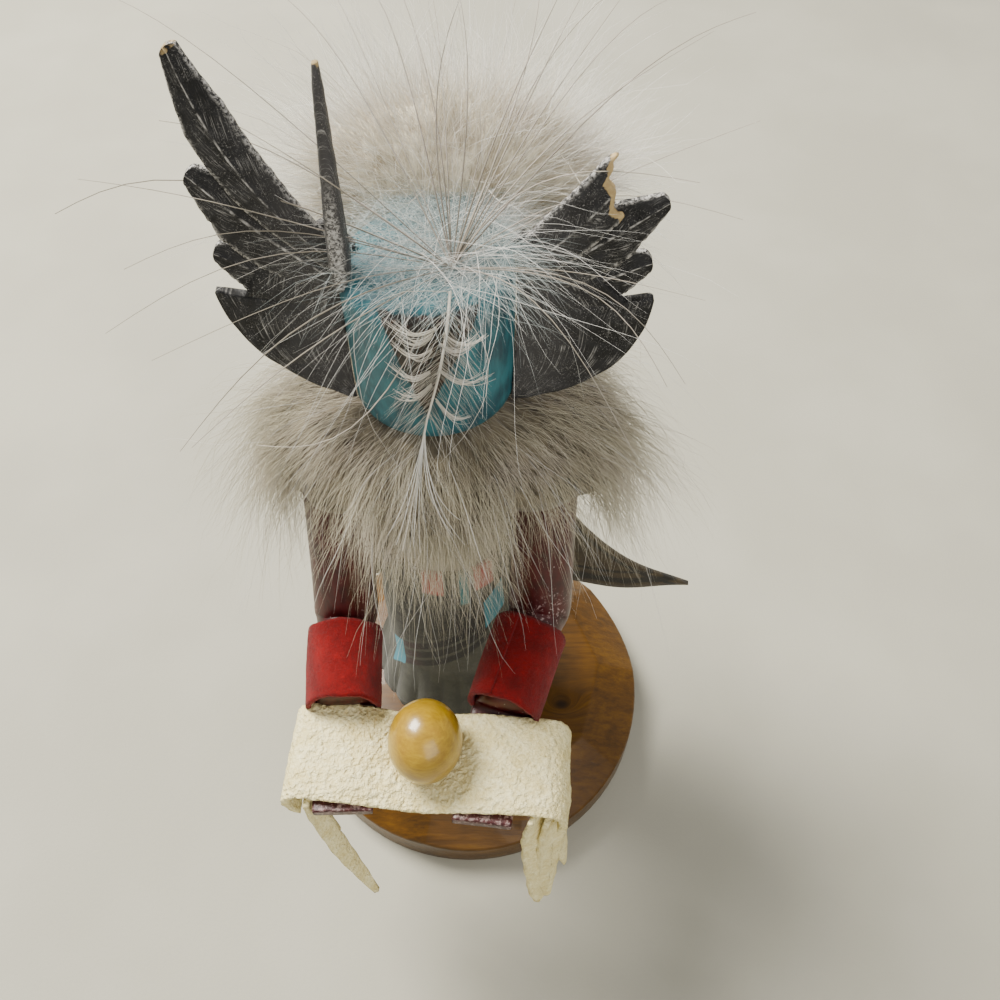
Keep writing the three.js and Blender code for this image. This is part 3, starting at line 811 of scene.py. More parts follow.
def swept(stations: Sequence[Sequence[float]], sides: int, steps: int) -> Shell:
    """Sweep a rounded section along stations, its width along X.

    Args:
        stations: Rows [x, y, z, half width, half thickness, squareness from 2, round, upwards].
        sides: Corners of a section.
        steps: Sections along the path.

    Returns:
        A closed shell with rounded-off ends.
    """
    t = np.linspace(0, 1, steps)
    rows = smooth_path(stations, t)
    centre, tangent = rows[:, :3], unit(np.gradient(rows[:, :3], axis=0))
    side = np.tile([1.0, 0.0, 0.0], (steps, 1))
    side = unit(side - tangent * np.sum(side * tangent, axis=1, keepdims=True))
    up = np.cross(tangent, side)
    angle = np.linspace(0, 2 * math.pi, sides, endpoint=False)
    power = 2.0 / np.maximum(rows[:, 5:6], 2.0)
    wide = np.sign(np.cos(angle)) * np.abs(np.cos(angle)) ** power * rows[:, 3:4]
    thick = np.sign(np.sin(angle)) * np.abs(np.sin(angle)) ** power * rows[:, 4:5]
    rings = centre[:, None] + wide[..., None] * side[:, None] + thick[..., None] * up[:, None]
    points = np.vstack([rings.reshape(-1, 3), centre[:1], centre[-1:]])
    return Shell(points, tube_faces(steps, sides))


def sheet_shell(grid: Array, thickness: float, ring: bool = False) -> Shell:
    """Give a grid of points the thickness of suede.

    Args:
        grid: Points [row, column, xyz] of the middle surface.
        thickness: The sheet's thickness.
        ring: Whether the last row joins the first.

    Returns:
        A closed shell whose map runs from 0 to 1 along rows and columns.
    """
    rows, columns = grid.shape[:2]
    if ring:
        padded = np.concatenate([grid[-1:], grid, grid[:1]])
        along = padded[2:] - padded[:-2]
    else:
        along = np.gradient(grid, axis=0)
    normal = unit(np.cross(along, np.gradient(grid, axis=1)))
    half = thickness / 2
    points = np.vstack([(grid + normal * half).reshape(-1, 3), (grid - normal * half).reshape(-1, 3)])
    border = []
    for i in range(rows if ring else rows - 1):
        a, b = i * columns, (i + 1) % rows * columns
        border += [(b, a), (a + columns - 1, b + columns - 1)]
    end = (rows - 1) * columns
    for j in range(0 if ring else columns - 1):
        border += [(j, j + 1), (end + j + 1, end + j)]
    u, v = np.meshgrid(np.linspace(0, 1, rows), np.linspace(0, 1, columns), indexing="ij")
    uv = np.stack([u, v], axis=-1).reshape(-1, 2)
    return Shell(points, plate_faces(rows, columns, border, ring), np.vstack([uv, uv]))


def turned(profile: Sequence[tuple[float, float]], sides: int, steps: int = 0) -> Shell:
    """Turn a profile about the Z axis.

    Args:
        profile: [radius, height] pairs from the axis at the foot to the axis at the top.
        sides: Corners round the axis.
        steps: Points along a smoothed profile; 0 keeps the corners.

    Returns:
        A closed shell.
    """
    outline = np.array(profile, float)[1:-1]
    if steps:
        outline = smooth_path(outline, np.linspace(0, 1, steps))
    angle = np.linspace(0, 2 * math.pi, sides, endpoint=False)
    ring = np.stack([np.cos(angle), np.sin(angle)], axis=-1)
    body = outline[:, None, :1] * ring[None]
    height = np.repeat(outline[:, None, 1:], sides, axis=1)
    points = np.concatenate([body, height], axis=-1).reshape(-1, 3)
    points = np.vstack([points, [0, 0, profile[0][1]], [0, 0, profile[-1][1]]])
    return Shell(points, tube_faces(len(outline), sides))


def mixed(a: Sequence[float], b: Sequence[float], t: float) -> list[float]:
    """Return the point at share t from a to b."""
    return [p + (q - p) * t for p, q in zip(a, b)]


# ---- Hair -------------------------------------------------------------------------------------


class HairTree:
    """Geometry Nodes that sweep a thin tapered blade along every guide line."""

    tree: bpy.types.NodeTree | None = None
    inputs: dict[str, str] = {
        "Geometry": "Geometry", "Hair Radius": "Float", "Tip Share": "Float", "Thinnest": "Float",
        "Sides": "Int", "Seed": "Int", "Material": "Material",
    }
    taper_power: float = 1.6

    @classmethod
    def made(cls) -> bpy.types.NodeTree:
        """Return the tree, built once."""
        if cls.tree is None:
            cls.tree = cls().build()
        return cls.tree

    def build(self) -> bpy.types.NodeTree:
        """Build the tree: guides to curves, a tapered radius, a blade, and its material.

        Returns:
            The node group.
        """
        tree = bpy.data.node_groups.new("hair_along_guides", "GeometryNodeTree")
        for name, kind in self.inputs.items():
            tree.interface.new_socket(name, in_out="INPUT", socket_type=f"NodeSocket{kind}")
        tree.interface.new_socket("Geometry", in_out="OUTPUT", socket_type="NodeSocketGeometry")

        def outputs(kind: str, settings: dict | None = None, **values: object) -> object:
            """Add a node, its inputs named with underscores for spaces, and return its outputs."""
            named = {key.replace("_", " "): value for key, value in values.items()}
            return added(tree, f"GeometryNode{kind}", settings or {}, named).outputs

        def sums(operation: str, first: object, second: object) -> Link:
            """Add a Math node on links or numbers and return its result."""
            node = added(tree, "ShaderNodeMath", {"operation": operation}, {0: first, 1: second})
            return node.outputs[0]

        given = added(tree, "NodeGroupInput", {}, {}).outputs
        curves = outputs("MeshToCurve", Mesh=given["Geometry"])
        strand = outputs("InputNamedAttribute", {"data_type": "INT"}, Name="strand")["Attribute"]
        width = outputs("InputNamedAttribute", {"data_type": "FLOAT"}, Name="width")["Attribute"]
        least = {2: given["Thinnest"], "ID": strand, "Seed": given["Seed"]}
        chance = added(tree, "FunctionNodeRandomValue", {"data_type": "FLOAT"}, least).outputs[1]
        factor = outputs("SplineParameter")["Factor"]
        lost = sums("SUBTRACT", 1.0, given["Tip Share"])
        taper = sums("SUBTRACT", 1.0, sums("MULTIPLY", sums("POWER", factor, self.taper_power), lost))
        radius = sums("MULTIPLY", sums("MULTIPLY", taper, given["Hair Radius"]), chance)
        radius = sums("MULTIPLY", radius, width)
        profile = outputs("CurvePrimitiveCircle", Resolution=given["Sides"], Radius=1.0)
        blade = outputs(
            "CurveToMesh", Curve=curves["Curve"], Profile_Curve=profile["Curve"], Scale=radius,
            Fill_Caps=True,
        )
        real = added(tree, "GeometryNodeRealizeInstances", {}, {0: blade["Mesh"]}).outputs[0]
        coat = outputs("SetMaterial", Geometry=real, Material=given["Material"])
        added(tree, "NodeGroupOutput", {}, {0: coat[0]})
        return tree


@dataclass
class Strands:
    """Guide lines of hairs: places [hair, step, xyz] with a width share and a tone each."""

    lines: Array
    width: Array
    tone: Array

    def also(self, other: "Strands") -> "Strands":
        """Return both sets, which have the same number of steps."""
        return Strands(
            np.concatenate([self.lines, other.lines]),
            np.concatenate([self.width, other.width]),
            np.concatenate([self.tone, other.tone]),
        )


@dataclass(frozen=True)
class HairLayer:
    """One layer of hairs: its name, how many, the points on each, the shortest and the longest.

    Then come a hair's radius, how far the tips gather in clumps, and the finish.
    """

    name: str
    count: int
    steps: int
    lengths: Pair
    radius: float
    clump: float = 0.0
    finish: Finish = Finish.FUR


def combed(
    rng: Random,
    roots: Array,
    directions: Array,
    lengths: Array,
    steps: int,
    droop: float,
    curl: float,
    clump: float = 0.0,
    leaders: int = 1,
) -> Strands:
    """Grow hairs that droop, curl a little and gather in clumps.

    Args:
        rng: The random source.
        roots: Where the hairs start.
        directions: Where they head, length one.
        lengths: Their lengths.
        steps: Points on each hair.
        droop: How far the tip sinks, as a share of the length.
        curl: How far the tip bends aside, as a share of the length.
        clump: How far the tips gather at their leader's tip.
        leaders: The number of hairs that lead a clump.

    Returns:
        The hairs.
    """
    count = len(roots)
    s = np.linspace(0, 1, steps)[None, :, None]
    length = lengths[:, None, None]
    bend = unit(np.cross(directions, rng.normal(size=(count, 3))))[:, None]
    bend = bend * (rng.uniform(-1, 1, count) * curl)[:, None, None]
    second = unit(rng.normal(size=(count, 3)))[:, None] * curl * 0.35
    path = roots[:, None] + directions[:, None] * length * s
    path = path + bend * length * s**2 + second * length * np.sin(s * math.pi * 1.7) * s
    sink = np.array([0.0, 0.0, -1.0]) * droop
    path = path + sink * length * s**2.2
    if clump > 0:
        chosen = rng.choice(count, min(leaders, count), replace=False)
        heads = roots[chosen]
        nearest = np.empty(count, int)
        for start in range(0, count, 2000):
            gap = np.linalg.norm(roots[start:start + 2000, None] - heads[None], axis=-1)
            nearest[start:start + 2000] = chosen[np.argmin(gap, axis=1)]
        share = clump * rng.uniform(0.4, 1.0, count)[:, None, None] * s**1.5
        path = path + (path[nearest] - path) * share
    return Strands(path, np.ones(count), rng.uniform(0, 1, count))


def within_reach(lines: Array) -> Array:
    """Shorten each hair that would leave the room round the doll; see HAIR_LOW and HAIR_HIGH."""
    root = lines[:, :1]
    step = lines - root
    room = np.where(step > 0, np.array(HAIR_HIGH) - root, np.array(HAIR_LOW) - root)
    share = np.where(np.abs(step) > 1e-6, room / np.where(np.abs(step) > 1e-6, step, 1.0), 9.0)
    return root + step * np.clip(share.min(axis=(1, 2), keepdims=True), 0.0, 1.0)


def grow(
    name: str,
    strands: Strands,
    finish: Finish,
    radius: float,
    seed: int,
    stands_for: Sequence[str] = (),
    tip: float = 0.15,
) -> bpy.types.Object:
    """Turn guide lines into a piece of closed hairs by Geometry Nodes.

    Args:
        name: The piece's name.
        strands: The guide lines in millimetres.
        finish: The hair's finish.
        radius: A hair's radius at its root in millimetres.
        seed: The seed of the thickness.
        stands_for: The CAD nodes that the piece replaces.
        tip: The tip's radius as a share of the root's.

    Returns:
        The object.
    """
    count, steps = strands.lines.shape[:2]
    guides = bpy.data.meshes.new(name + "_guides")
    starts = np.arange(count * steps).reshape(count, steps)
    edges = np.stack([starts[:, :-1], starts[:, 1:]], axis=-1).reshape(-1, 2)
    guides.from_pydata((within_reach(strands.lines).reshape(-1, 3) * MM).tolist(), edges.tolist(), [])
    numbers = {
        "width": np.repeat(strands.width, steps),
        "tone": np.repeat(strands.tone, steps),
        "along": np.tile(np.linspace(0, 1, steps), count),
    }
    for key, values in numbers.items():
        guides.attributes.new(key, "FLOAT", "POINT").data.foreach_set("value", values.astype(np.float32))
    ids = np.repeat(np.arange(count), steps).astype(np.int32)
    guides.attributes.new("strand", "INT", "POINT").data.foreach_set("value", ids)
    carrier = bpy.data.objects.new(name + "_guides", guides)
    bpy.context.scene.collection.objects.link(carrier)
    modifier = carrier.modifiers.new("hair", "NODES")
    modifier.node_group = HairTree.made()
    given = {
        "Hair Radius": radius * MM, "Tip Share": tip, "Thinnest": 0.55, "Sides": 3, "Seed": seed,
        "Material": dressed(finish),
    }
    for item in modifier.node_group.interface.items_tree:
        if item.in_out == "INPUT" and item.name in given:
            modifier[item.identifier] = given[item.name]
    carrier.update_tag()
    graph = bpy.context.evaluated_depsgraph_get()
    mesh = bpy.data.meshes.new_from_object(carrier.evaluated_get(graph))
    mesh.name = name
    bpy.data.objects.remove(carrier)
    bpy.data.meshes.remove(guides)
    mesh.shade_smooth()
    return placed(name, mesh, finish, stands_for)


def scattered(rng: Random, shell: Shell, count: int) -> tuple[Array, Array]:
    """Scatter roots over a shell of quads and triangles.

    Args:
        rng: The random source.
        shell: The surface.
        count: The number of roots.

    Returns:
        The roots, and the surface's direction at each.
    """
    corners = []
    for face in shell.faces:
        corners.append((face[0], face[1], face[2]))
        if len(face) == 4:
            corners.append((face[0], face[2], face[3]))
    a, b, c = (shell.points[[t[i] for t in corners]] for i in range(3))
    cross = np.cross(b - a, c - a)
    area = np.linalg.norm(cross, axis=1)
    pick = rng.choice(len(corners), count, p=area / area.sum())
    u, v = rng.uniform(0, 1, (2, count))
    flip = u + v > 1
    u, v = np.where(flip, 1 - u, u), np.where(flip, 1 - v, v)
    roots = a[pick] + (b - a)[pick] * u[:, None] + (c - a)[pick] * v[:, None]
    return roots, unit(cross[pick])


# ---- The doll's parts -------------------------------------------------------------------------


@dataclass
class WoodenBase:
    """The round base with hand-cut facets round its top."""

    node: str = "base"
    bevel: float = 0.45

    def make(self, frame: dict) -> None:
        """Soften the CAD base's edges in a copy.

        Args:
            frame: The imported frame.
        """
        shape = bmesh.new()
        shape.from_mesh(frame["nodes"][self.node].data)
        bmesh.ops.remove_doubles(shape, verts=shape.verts, dist=1e-6)
        bmesh.ops.dissolve_limit(shape, angle_limit=math.radians(2.0), verts=shape.verts, edges=shape.edges)
        sharp = [e for e in shape.edges if len(e.link_faces) == 2 and e.calc_face_angle(0) > math.radians(9)]
        bmesh.ops.bevel(shape, geom=sharp, offset=self.bevel * MM, segments=3, profile=0.6, affect="EDGES")
        bmesh.ops.recalc_face_normals(shape, faces=shape.faces)
        mesh = bpy.data.meshes.new("wooden_base")
        shape.to_mesh(mesh)
        shape.free()
        mesh.shade_smooth()
        mesh.set_sharp_from_angle(angle=math.radians(28))
        placed("wooden_base", mesh, Finish.BASE, [self.node])


@dataclass
class CarvedFigure:
    """The trunk, neck and boots, carved as one."""

    boot_apart: float = 5.4
    floor: float = 12.8

    def make(self) -> None:
        """Build the trunk and both boots."""
        trunk = turned([
            (0, 26.0), (10.2, 26.0), (10.6, 27), (10.6, 38), (10.6, 50), (9.6, 66), (9.7, 82), (9.7, 91.5),
            (8.4, 95.4), (7.1, 97.6), (7.0, 99.6), (7.0, 101.6), (0, 101.7),
        ], 72, 90)
        trunk.points[:, :2] *= (1 + 0.012 * lumps(trunk.points, 6.0, 3.0))[:, None]
        shell = trunk
        for side in (-1, 1):
            shell = shell.joined(self.boot(side))
        build("carved_figure", shell.moved(FIGURE_X), Finish.TRUNK, ["figure"])

    def boot(self, side: int) -> Shell:
        """Return one boot, side -1 or 1: a leg and a foot with a rounded toe."""
        x, low = side * self.boot_apart, self.floor
        leg = swept([
            [x, 0, low + 16.2, 4.7, 4.7, 2], [x, 0, low + 11, 4.75, 4.75, 2], [x, 0, low + 6, 4.4, 4.4, 2],
            [x, 0, low + 1, 4.2, 4.2, 2],
        ], 32, 24)
        foot = swept([
            [x, 4.15, low + 2.1, 2.6, 1.9, 3], [x, 3.4, low + 2.4, 3.7, 2.35, 3.5],
            [x, 0, low + 2.5, 4.15, 2.48, 4], [x, -6, low + 2.5, 4.15, 2.46, 4],
            [x, -11, low + 2.35, 3.7, 2.3, 3.5], [x, -13.4, low + 2.0, 2.3, 1.8, 3],
        ], 32, 40)
        return leg.joined(foot)


@dataclass
class SuedeDress:
    """The suede sleeve round the trunk, with pleats that fall below its painted band."""

    top: float = 69.0
    hem: float = 23.6
    band_bottom: float = 36.0
    pleats: int = 18
    fringe_cuts: int = 54
    thickness: float = 1.05
    trunk_radius: float = 10.6
    flat_radius: float = 11.6

    def make(self) -> None:
        """Build the dress."""
        rows, columns = 162, 40
        angle = np.linspace(0, 2 * math.pi, rows, endpoint=False)[:, None]
        z = np.linspace(self.top, self.hem, columns)[None]
        trunk = self.trunk_radius - np.maximum(0, z - 50) * 1.1 / 16
        fall = np.clip((self.band_bottom - z) / 8, 0, 1)
        radius = trunk + 0.3 + self.thickness / 2 + np.maximum(0, self.band_bottom - z) * 0.24 + 0.05
        fold = 1 - (2 * np.abs((angle * self.pleats / (2 * math.pi)) % 1 - 0.5)) ** 2
        radius = radius * (1 + fall * 0.04 * fold)
        grid = np.stack([radius * np.cos(angle), radius * np.sin(angle), z + 0 * angle], axis=-1)
        soft = lumps(grid.reshape(-1, 3), 7.0, 8.0).reshape(rows, columns)
        grid[..., :2] *= (1 + 0.006 * soft)[..., None]
        cut = np.abs((angle * self.fringe_cuts / (2 * math.pi)) % 1 - 0.5) < 0.12
        fringe = cut * np.clip((28 - z) / 4, 0, 1)
        grid[..., :2] *= (1 - 0.02 * fringe)[..., None]
        grid[..., 2] += np.clip((26 - z) / 3, 0, 1) * 0.5 * np.sin(angle * 31)
        shell = sheet_shell(grid, self.thickness, ring=True)
        piece = build("suede_dress", shell.moved(FIGURE_X), Finish.DRESS, ["dress"])


@dataclass
class Helmet:
    """The turquoise cylinder that is the doll's head."""

    radius: float = 10.25
    bottom: float = 102.0
    top: float = 122.4
    corner: float = 2.6

    def make(self) -> None:
        """Build the helmet."""
        profile = [(0, self.bottom), (self.radius - 0.5, self.bottom), (self.radius, self.bottom + 0.5)]
        profile += [(self.radius, z) for z in np.linspace(self.bottom + 1.2, self.top - self.corner, 24)]
        for angle in np.linspace(0.1, math.pi / 2, 10):
            out = self.radius - self.corner + self.corner * math.cos(angle)
            profile.append((out, self.top - self.corner + self.corner * math.sin(angle)))
        profile += [(5.0, self.top + 0.2), (2.0, self.top + 0.35), (0, self.top + 0.4)]
        shell = turned(profile, 128)
        shell.points[:, :2] *= (1 + 0.006 * lumps(shell.points, 5.0, 1.0))[:, None]
        build("helmet", shell.moved(FIGURE_X), Finish.HELMET, ["head"])


class Side(Enum):
    """The figure's two sides."""

    RIGHT = -1
    LEFT = 1


@dataclass
class Arm:
    """A hanging upper arm, a bent elbow, a forearm in a cuff, and a flat hand."""

    side: Side
    elbow: Point
    wrist: Point
    tip: Point
    cuff_to: float
    upper: float = 4.85
    fore: float = 4.45
    cuff_from: float = 0.33
    cuff_thickness: float = 0.75
    cuff_turns: float = 1.06
    cuff_flat_radius: float = 5.35

    def make(self) -> None:
        """Build the arm and its cuff."""
        word = self.side.name.lower()
        shoulder = (self.side.value * 14.95, 0.2, 93.5)
        up, fore = self.upper, self.fore

        def hand(t: float) -> list[float]:
            """Return a point on the flat hand."""
            return [mixed(self.wrist, self.tip, t**0.5)[0], mixed(self.wrist, self.tip, t)[1], self.tip[2]]

        bend = mixed(mixed(shoulder, self.elbow, 0.97), mixed(self.elbow, self.wrist, 0.08), 0.5)
        stations = [
            [*mixed(shoulder, self.elbow, -0.085), 0.6, 0.6, 2],
            [*mixed(shoulder, self.elbow, -0.07), up * 0.5, up * 0.5, 2],
            [*mixed(shoulder, self.elbow, -0.03), up * 0.88, up * 0.88, 2],
            [*mixed(shoulder, self.elbow, 0.08), up, up, 2],
            [*mixed(shoulder, self.elbow, 0.45), up * 0.99, up * 0.98, 2],
            [*mixed(shoulder, self.elbow, 0.84), up, up * 0.99, 2],
            [*bend, up * 1.01, up, 2.1],
            [*mixed(self.elbow, self.wrist, 0.22), fore, fore, 2],
            [*mixed(self.elbow, self.wrist, 0.6), fore, fore, 2],
            [*self.wrist, fore, fore * 0.94, 2.2],
            [*hand(0.13), 4.3, 1.2, 5],
            [*hand(0.4), 4.3, 1.1, 7],
            [*hand(0.985), 4.28, 1.08, 8],
            [*self.tip, 4.1, 0.95, 8],
        ]
        shell = swept(stations, 40, 120)
        away = unit(shell.points - shell.points.mean(0)) * 0.08
        shell.points += away * lumps(shell.points, 3.0, 5.0)[:, None]
        build(f"carved_arm_{word}", shell.moved(FIGURE_X), Finish.ARM, [f"arm_{word}"])
        self.cuff(word)

    def cuff(self, word: str) -> None:
        """Wrap the suede cuff, whose end overlaps its start; word is the side's name."""
        start = np.array(mixed(self.elbow, self.wrist, self.cuff_from))
        end = np.array(mixed(self.elbow, self.wrist, self.cuff_to))
        axis = unit(end - start)
        first = unit(np.cross(axis, np.array([0.0, 0.0, 1.0])))
        other = np.cross(first, axis)
        turns = self.cuff_turns
        rows, columns = 108, 22
        share = np.linspace(0, 1, rows)[:, None]
        angle = (0.9 + share * turns * 2 * math.pi) * self.side.value
        along = np.linspace(0, 1, columns)[None]
        inner = self.upper + self.cuff_thickness / 2
        lap = np.clip((share - 1 / turns + 0.1) / 0.12, 0, 1)
        radius = inner + 0.12 + lap * (self.cuff_thickness + 0.03) * 0.55 - 0.15 * along**3
        radius = radius + 0.08 * np.sin(angle * 3 + along * 4)
        length = np.linalg.norm(end - start)
        edge = 0.12 * np.sin(angle * 5.3 + 1) * (2 * along - 1)
        grid = start + axis * (along * length + edge)[..., None]
        spoke = np.cos(angle)[..., None] * first + np.sin(angle)[..., None] * other
        grid = grid + radius[..., None] * spoke
        shell = sheet_shell(grid, self.cuff_thickness)
        shell.points += np.outer(lumps(shell.points, 0.8, 2.0) * 0.07, [1, 1, 1])
        shell = shell.moved(FIGURE_X)
        piece = build(f"suede_cuff_{word}", shell, Finish.CUFF, [f"cuff_{word}"])


@dataclass(frozen=True)
class Tail:
    """One hanging tail: its root and tip, its turn to the front in degrees, and half its width."""

    root: Point
    tip: Point
    turn: float
    wide: float


@dataclass
class BallOnStrip:
    """The napped suede strip over both hands, its hanging tails, and the ball glued on it.

    The line is the strip's run from the right side to the left, seen from the front.
    """

    centre_y: float = -35.7
    slope: float = 0.075
    depth: float = 14.2
    across: float = 53.0
    tail_length: float = 34.0
    thickness: float = 1.15
    tail_thickness: float = 0.85
    ball_radius: float = 5.3
    ball_tilt: float = 28.0
    ball: Point = (-2.2, -34.7, 64.15)
    line: tuple[Pair, ...] = (
        (-21.3, 52), (-22.2, 57), (-20.5, 59.8), (-17.2, 60.2), (-12, 60), (-8, 58.9), (-2.2, 57.9),
        (1.4, 59.1), (5.6, 60), (12, 60.2), (16.3, 59.6), (18, 56.8), (17.8, 52),
    )
    tails: tuple[Tail, ...] = (
        Tail((-18.9, -40.9, 59.0), (-12.7, -45, 21.5), 40, 1.45),
        Tail((-21.4, -35.9, 53), (-19.5, -36.8, 29), -12, 1.8),
        Tail((-21.4, -32.3, 53), (-20.6, -31.6, 25), 0, 1.8),
        Tail((-21.4, -28.7, 53), (-21, -27.2, 31), 8, 1.8),
        Tail((13.8, -42.6, 59.0), (15.0, -46.4, 19.7), 66, 2.6),
        Tail((16.0, -41.6, 57), (16.4, -45.4, 22.5), 50, 2.7),
        Tail((17.9, -38.0, 54), (18.9, -41.2, 26), 26, 2.3),
        Tail((17.9, -33.6, 53), (19.4, -33.9, 30), 6, 2.1),
    )

    def make(self) -> None:
        """Build the strip, the ball and the ring of glue between them."""
        shell = self.band()
        area = 0.0
        for tail in self.tails:
            shell = shell.joined(self.hanging(tail))
            area += 1.7 * tail.wide * math.dist(tail.root, tail.tip)
        piece = build("suede_strip", shell.moved(FIGURE_X), Finish.STRIP, ["strip"])
        area = (self.across * self.depth + area) * MM * MM
        self.wooden_ball()

    def band(self) -> Shell:
        """Return the main band of the strip."""
        rows, columns = 230, 50
        t = np.linspace(0, 1, rows)
        path = smooth_path(np.array(self.line), t)
        y = self.centre_y - self.slope * (path[:, 0] - self.ball[0])
        v = np.linspace(-1, 1, columns)[None]
        ragged = 0.09 * np.sin(t * 23)[:, None] * np.sign(v) + 0.05 * np.sin(t * 143 + 1)[:, None]
        ends = 1 - 0.06 * np.abs(2 * t - 1)[:, None] ** 3
        reach = v * self.depth / 2 * ends + ragged * np.abs(v) ** 6
        grid = np.stack([
            path[:, :1] + self.slope * reach,
            y[:, None] + reach,
            path[:, 1:] + 0 * v - 0.7 * np.maximum(-v, 0) ** 5 - 0.35 * np.maximum(v, 0) ** 5,
        ], axis=-1)
        rise = lumps(grid.reshape(-1, 3), 3.2, 4.0).reshape(rows, columns)
        grid[..., 2] += 0.16 * rise
        shell = sheet_shell(grid, self.thickness)
        crumb = lumps(shell.points, 0.62, 9.0) + 0.6 * lumps(shell.points, 1.2, 19.0)
        outer = np.concatenate([np.ones(rows * columns), -np.ones(rows * columns)])
        shell.points[:, 2] += 0.24 * crumb * outer
        shell.points[:, 0] += 0.1 * lumps(shell.points, 0.7, 29.0)
        return shell

    def hanging(self, tail: Tail) -> Shell:
        """Return one hanging tail, a thin tapered sheet."""
        rows, columns = 60, 9
        t = np.linspace(0, 1, rows)
        a, b, turn = np.array(tail.root), np.array(tail.tip), tail.turn
        centre = a + (b - a) * t[:, None]
        centre[:, 0] = a[0] + (b[0] - a[0]) * t**1.4
        wave = np.sin(t * 7 + turn) * 0.35 * t
        angle = math.radians(turn) * np.minimum(1, 0.4 + 2 * t)
        side = np.stack([np.sin(angle), np.cos(angle), 0 * t], axis=-1)
        facing = np.stack([np.cos(angle), -np.sin(angle), 0 * t], axis=-1)
        half = tail.wide * np.interp(t, [0, 0.5, 0.85, 1], [1, 0.93, 0.62, 0.16])
        half = half * (1 + 0.05 * np.sin(t * 40 + turn))
        v = np.linspace(-1, 1, columns)[None, :, None]
        grid = (centre + facing * wave[:, None])[:, None] + side[:, None] * half[:, None, None] * v
        grid = grid + facing[:, None] * 0.3 * (v**2 - 0.4) * np.sin(t * 5 + turn)[:, None, None]
        return sheet_shell(grid, self.tail_thickness)

    def wooden_ball(self) -> None:
        """Build the ball, slightly flattened where it was turned, and its glue."""
        r, (x, y, z) = self.ball_radius, self.ball
        profile = [(0.0, -r * 0.985)]
        profile += [(r * math.sin(a), -r * math.cos(a)) for a in np.linspace(0.2, math.pi - 0.2, 40)]
        profile += [(0.0, r * 0.985)]
        ball = turned(profile, 60)
        ball.points *= (1 + 0.003 * lumps(ball.points, 3.0, 6.0))[:, None]
        cos, sin = math.cos(math.radians(self.ball_tilt)), math.sin(math.radians(self.ball_tilt))
        turn = np.array([[1, 0, 0], [0, cos, -sin], [0, sin, cos]])
        ball.points = ball.points @ turn.T * np.array([1.0, 1.13, 1.06])
        build("wooden_ball", ball.moved(FIGURE_X + x, y, z), Finish.BALL, ["ball"])
        foot = z - r + 0.12
        ring = turned([
            (0, -0.45), (3.3, -0.45), (3.5, -0.1), (3.0, 0.25), (2.3, 0.62), (1.9, 0.62), (0, 0.3),
        ], 48, 20)
        ring.points[:, :2] *= (1 + 0.1 * lumps(ring.points, 1.6, 7.0))[:, None]
        build("ball_glue", ring.moved(FIGURE_X + x, y - 0.3, foot - 0.15), Finish.GLUE)


@dataclass(frozen=True)
class Feather:
    """One carved feather: root and tip as (out, height), half width, bend and bluntness."""

    root: Pair
    tip: Pair
    wide: float
    bow: float
    blunt: float


